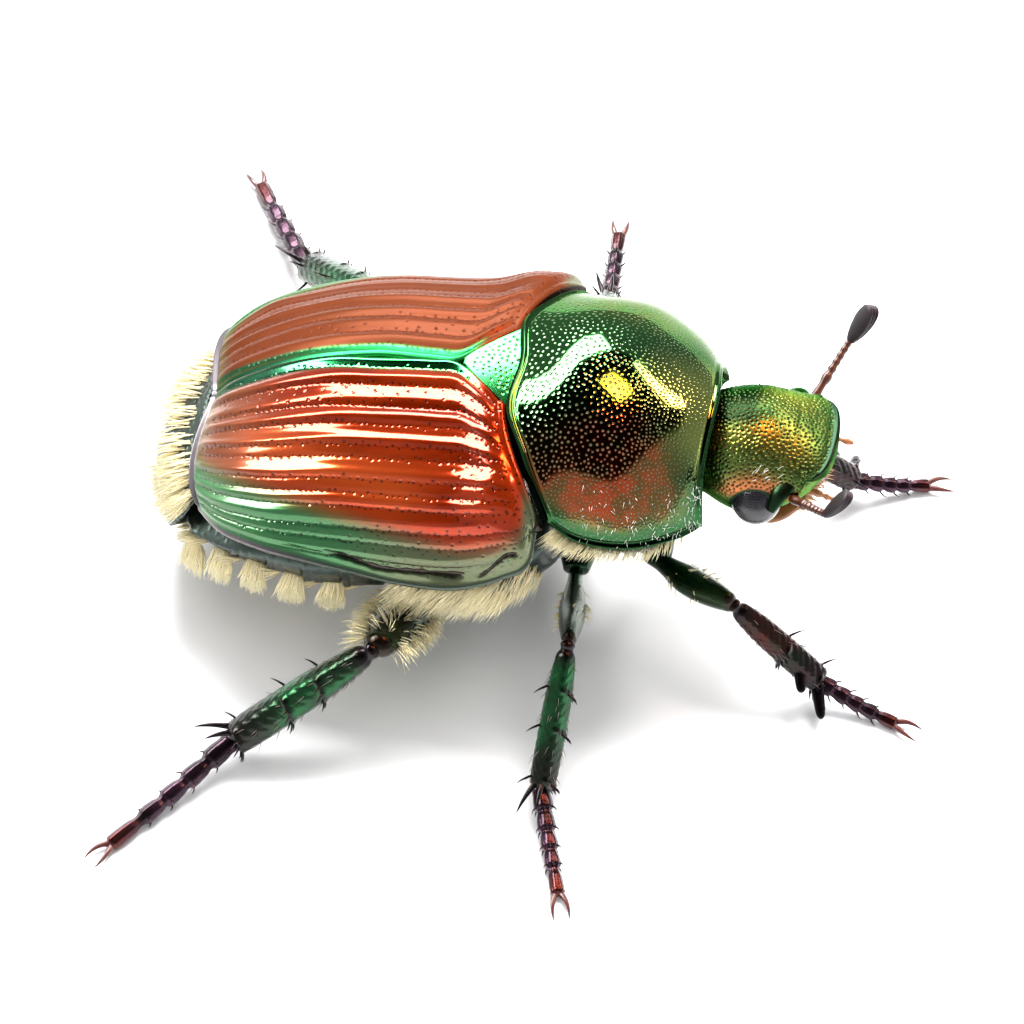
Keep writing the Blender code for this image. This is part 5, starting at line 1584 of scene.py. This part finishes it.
def build_setae(white, amber):
    """Single hairs on the pronotum's front sides, above the eyes and round the mouth's front."""
    draw = np.random.default_rng(95)
    bend = (0.05, 0, -0.1)
    build_prothorax_setae(white, draw)

    u, v = draw.uniform(0.36, 0.62, HEAD_SETAE), draw.uniform(0.06, 0.12, HEAD_SETAE)
    v = np.where(draw.uniform(0, 1, HEAD_SETAE) < 0.5, v, 0.5 - v)
    ground = partial(ringed_surface, HEAD_RINGS), u, v, (4.0, 0, 4.0)
    lengths = draw.uniform(0.2, 0.32, HEAD_SETAE)
    grow("head_setae", white, ground, 0.4, (0.3, 0, 0.8), bend, lengths, 0.0055)

    u, v = draw.uniform(0.7, 1.0, MOUTH_HAIRS), draw.uniform(0, 1, MOUTH_HAIRS)
    ground = partial(ringed_surface, MOUTH_RINGS), u, v, (4.5, 0, 3.2)
    lengths = draw.uniform(0.08, 0.18, MOUTH_HAIRS)
    grow("mouth_hair", amber, ground, 0.5, (0.7, 0, 0), bend, lengths, 0.009)


def build_beetle():
    trunk = trunk_look()
    build_prothorax()
    for side_name, side in SIDES.items():
        build_wing_case(side_name, side)
    build_scutellum()
    build_trunk("thorax_skin", "thorax", THORAX_RINGS, 2, 110, trunk, seed=43)
    build_trunk("abdomen_skin", "abdomen", ABDOMEN_RINGS, SEGMENTS_OF_BELLY, 200, trunk, seed=45)
    build_pygidium(trunk)
    build_head()
    build_face()
    build_hips(leg_look("hip_dark_green", (0.008, 0.03, 0.012), (0.01, 0.015, 0.01)))
    legs = build_legs()
    cream = hair_look("hair_cream", (0.62, 0.5, 0.25), (0.85, 0.75, 0.45))
    white = hair_look("hair_white", (0.8, 0.78, 0.68), (0.9, 0.9, 0.82))
    dark = hair_look("hair_dark", (0.03, 0.02, 0.02), (0.1, 0.06, 0.05))
    amber = hair_look("hair_amber", (0.4, 0.2, 0.06), (0.62, 0.36, 0.14))
    for side_name, side in SIDES.items():
        build_side_tufts(side_name, side, cream)
    build_pygidium_tufts(cream)
    build_fringes(cream)
    build_leg_hair(legs, cream, dark)
    build_setae(white, amber)


build_beetle()


# Floor, light and camera


def build_floor():
    look = new_look("floor_white", base_color=(0.9, 0.9, 0.91), roughness=0.6)
    mesh = bpy.data.meshes.new("floor")
    half = 0.6
    corners = [(-half, -half, 0), (half, -half, 0), (half, half, 0), (-half, half, 0)]
    mesh.from_pydata(corners, [], [(0, 1, 2, 3)])
    mesh.materials.append(look)
    floor = bpy.data.objects.new("floor", mesh)
    bpy.context.scene.collection.objects.link(floor)


def direction(turn, rise):
    """The direction at a turn to the right of straight at the beetle's right side, and a rise, in degrees."""
    turn, rise = math.radians(turn), math.radians(rise)
    return Vector((math.sin(turn) * math.cos(rise), -math.cos(turn) * math.cos(rise), math.sin(rise)))


def add_light(name, turn, rise, span, radiance, colour=(1, 1, 1), glossy=True, diffuse=True, near=None):
    """A soft box aimed at the beetle, of a span in degrees across and up, seen from there.

    A near one has (its distance, the place that it lights, the width of its beam in degrees).
    """
    distance, target, beam = near or (0.3, (0, 0, 3), 180)
    light = bpy.data.lights.new(name, "AREA")
    light.shape = "RECTANGLE"
    light.size, light.size_y = (2 * distance * math.tan(math.radians(angle) / 2) for angle in span)
    light.energy = 4 * math.pi * radiance * light.size * light.size_y
    if near:
        half = math.radians(beam) / 2
        light.spread = 2 * half
        light.energy *= 1 - half / math.tan(half)
    light.color = colour
    lamp = bpy.data.objects.new(name, light)
    place = direction(turn, rise)
    lamp.location = place * distance + Vector((np.array(target) + SHIFT) * MM)
    lamp.rotation_euler = place.to_track_quat("Z", "Y").to_euler()
    lamp.visible_glossy = glossy
    lamp.visible_diffuse = diffuse
    bpy.context.scene.collection.objects.link(lamp)


def build_world():
    """Pale round the horizon and dim overhead, as between two soft boxes."""
    world = bpy.data.worlds.new("studio")
    world.use_nodes = True
    bpy.context.scene.world = world
    tree = world.node_tree
    place = tree.nodes.new("ShaderNodeTexCoord").outputs["Generated"]
    split = tree.nodes.new("ShaderNodeSeparateXYZ")
    tree.links.new(place, split.inputs[0])
    ramp = tree.nodes.new("ShaderNodeValToRGB")
    tree.links.new(split.outputs["Z"], ramp.inputs[0])
    ramp.color_ramp.interpolation = "EASE"
    stops = ((0.0, 0.85), (0.3, 0.6), (0.63, 0.5), (0.7, 0.01), (1.0, 0.006))
    while len(ramp.color_ramp.elements) < len(stops):
        ramp.color_ramp.elements.new(0.5)
    for element, (height, level) in zip(ramp.color_ramp.elements, stops):
        element.position = height
        element.color = (level, level, level * 1.02, 1)
    background = tree.nodes["Background"]
    tree.links.new(ramp.outputs["Color"], background.inputs["Color"])


def build_camera():
    camera = bpy.data.objects.new("camera", bpy.data.cameras.new("camera"))
    bpy.context.scene.collection.objects.link(camera)
    bpy.context.scene.camera = camera
    back = direction(CAMERA_TURN, CAMERA_RISE)
    right = Vector((0, 0, 1)).cross(back).normalized()
    up = back.cross(right)
    target = Vector((np.array(CAMERA_TARGET) + SHIFT) * MM)
    across, down = ((pixel - FRAME_PIXELS / 2) / PIXELS_PER_MM * MM for pixel in TARGET_PIXEL)
    aim = target - right * across + up * down
    place = aim + back * CAMERA_DISTANCE * MM
    turned = Matrix((right, up, back)).transposed().to_4x4()
    camera.matrix_world = Matrix.Translation(place) @ turned
    camera.data.sensor_width = SENSOR_MM
    camera.data.lens = CAMERA_DISTANCE * PIXELS_PER_MM / FRAME_PIXELS * SENSOR_MM
    camera.data.clip_start = 0.001
    camera.data.clip_end = 10


build_floor()
build_world()
add_light("window", -134, 47, (72, 18), 8, diffuse=False)
add_light("strip", 135, 46, (30, 5), 12, colour=(1, 0.6, 0.4), diffuse=False)
add_light(
    "lamp", 143, 69, (20, 14), 40, colour=(1, 0.22, 0.05), diffuse=False, near=(0.012, (1.6, 0, 5.4), 30)
)
add_light("key", 176, 60, (36, 36), 7, glossy=False)
add_light("fill", 0, 75, (60, 60), 0.5, glossy=False)
build_camera()
bpy.context.scene.view_settings.view_transform = "Standard"
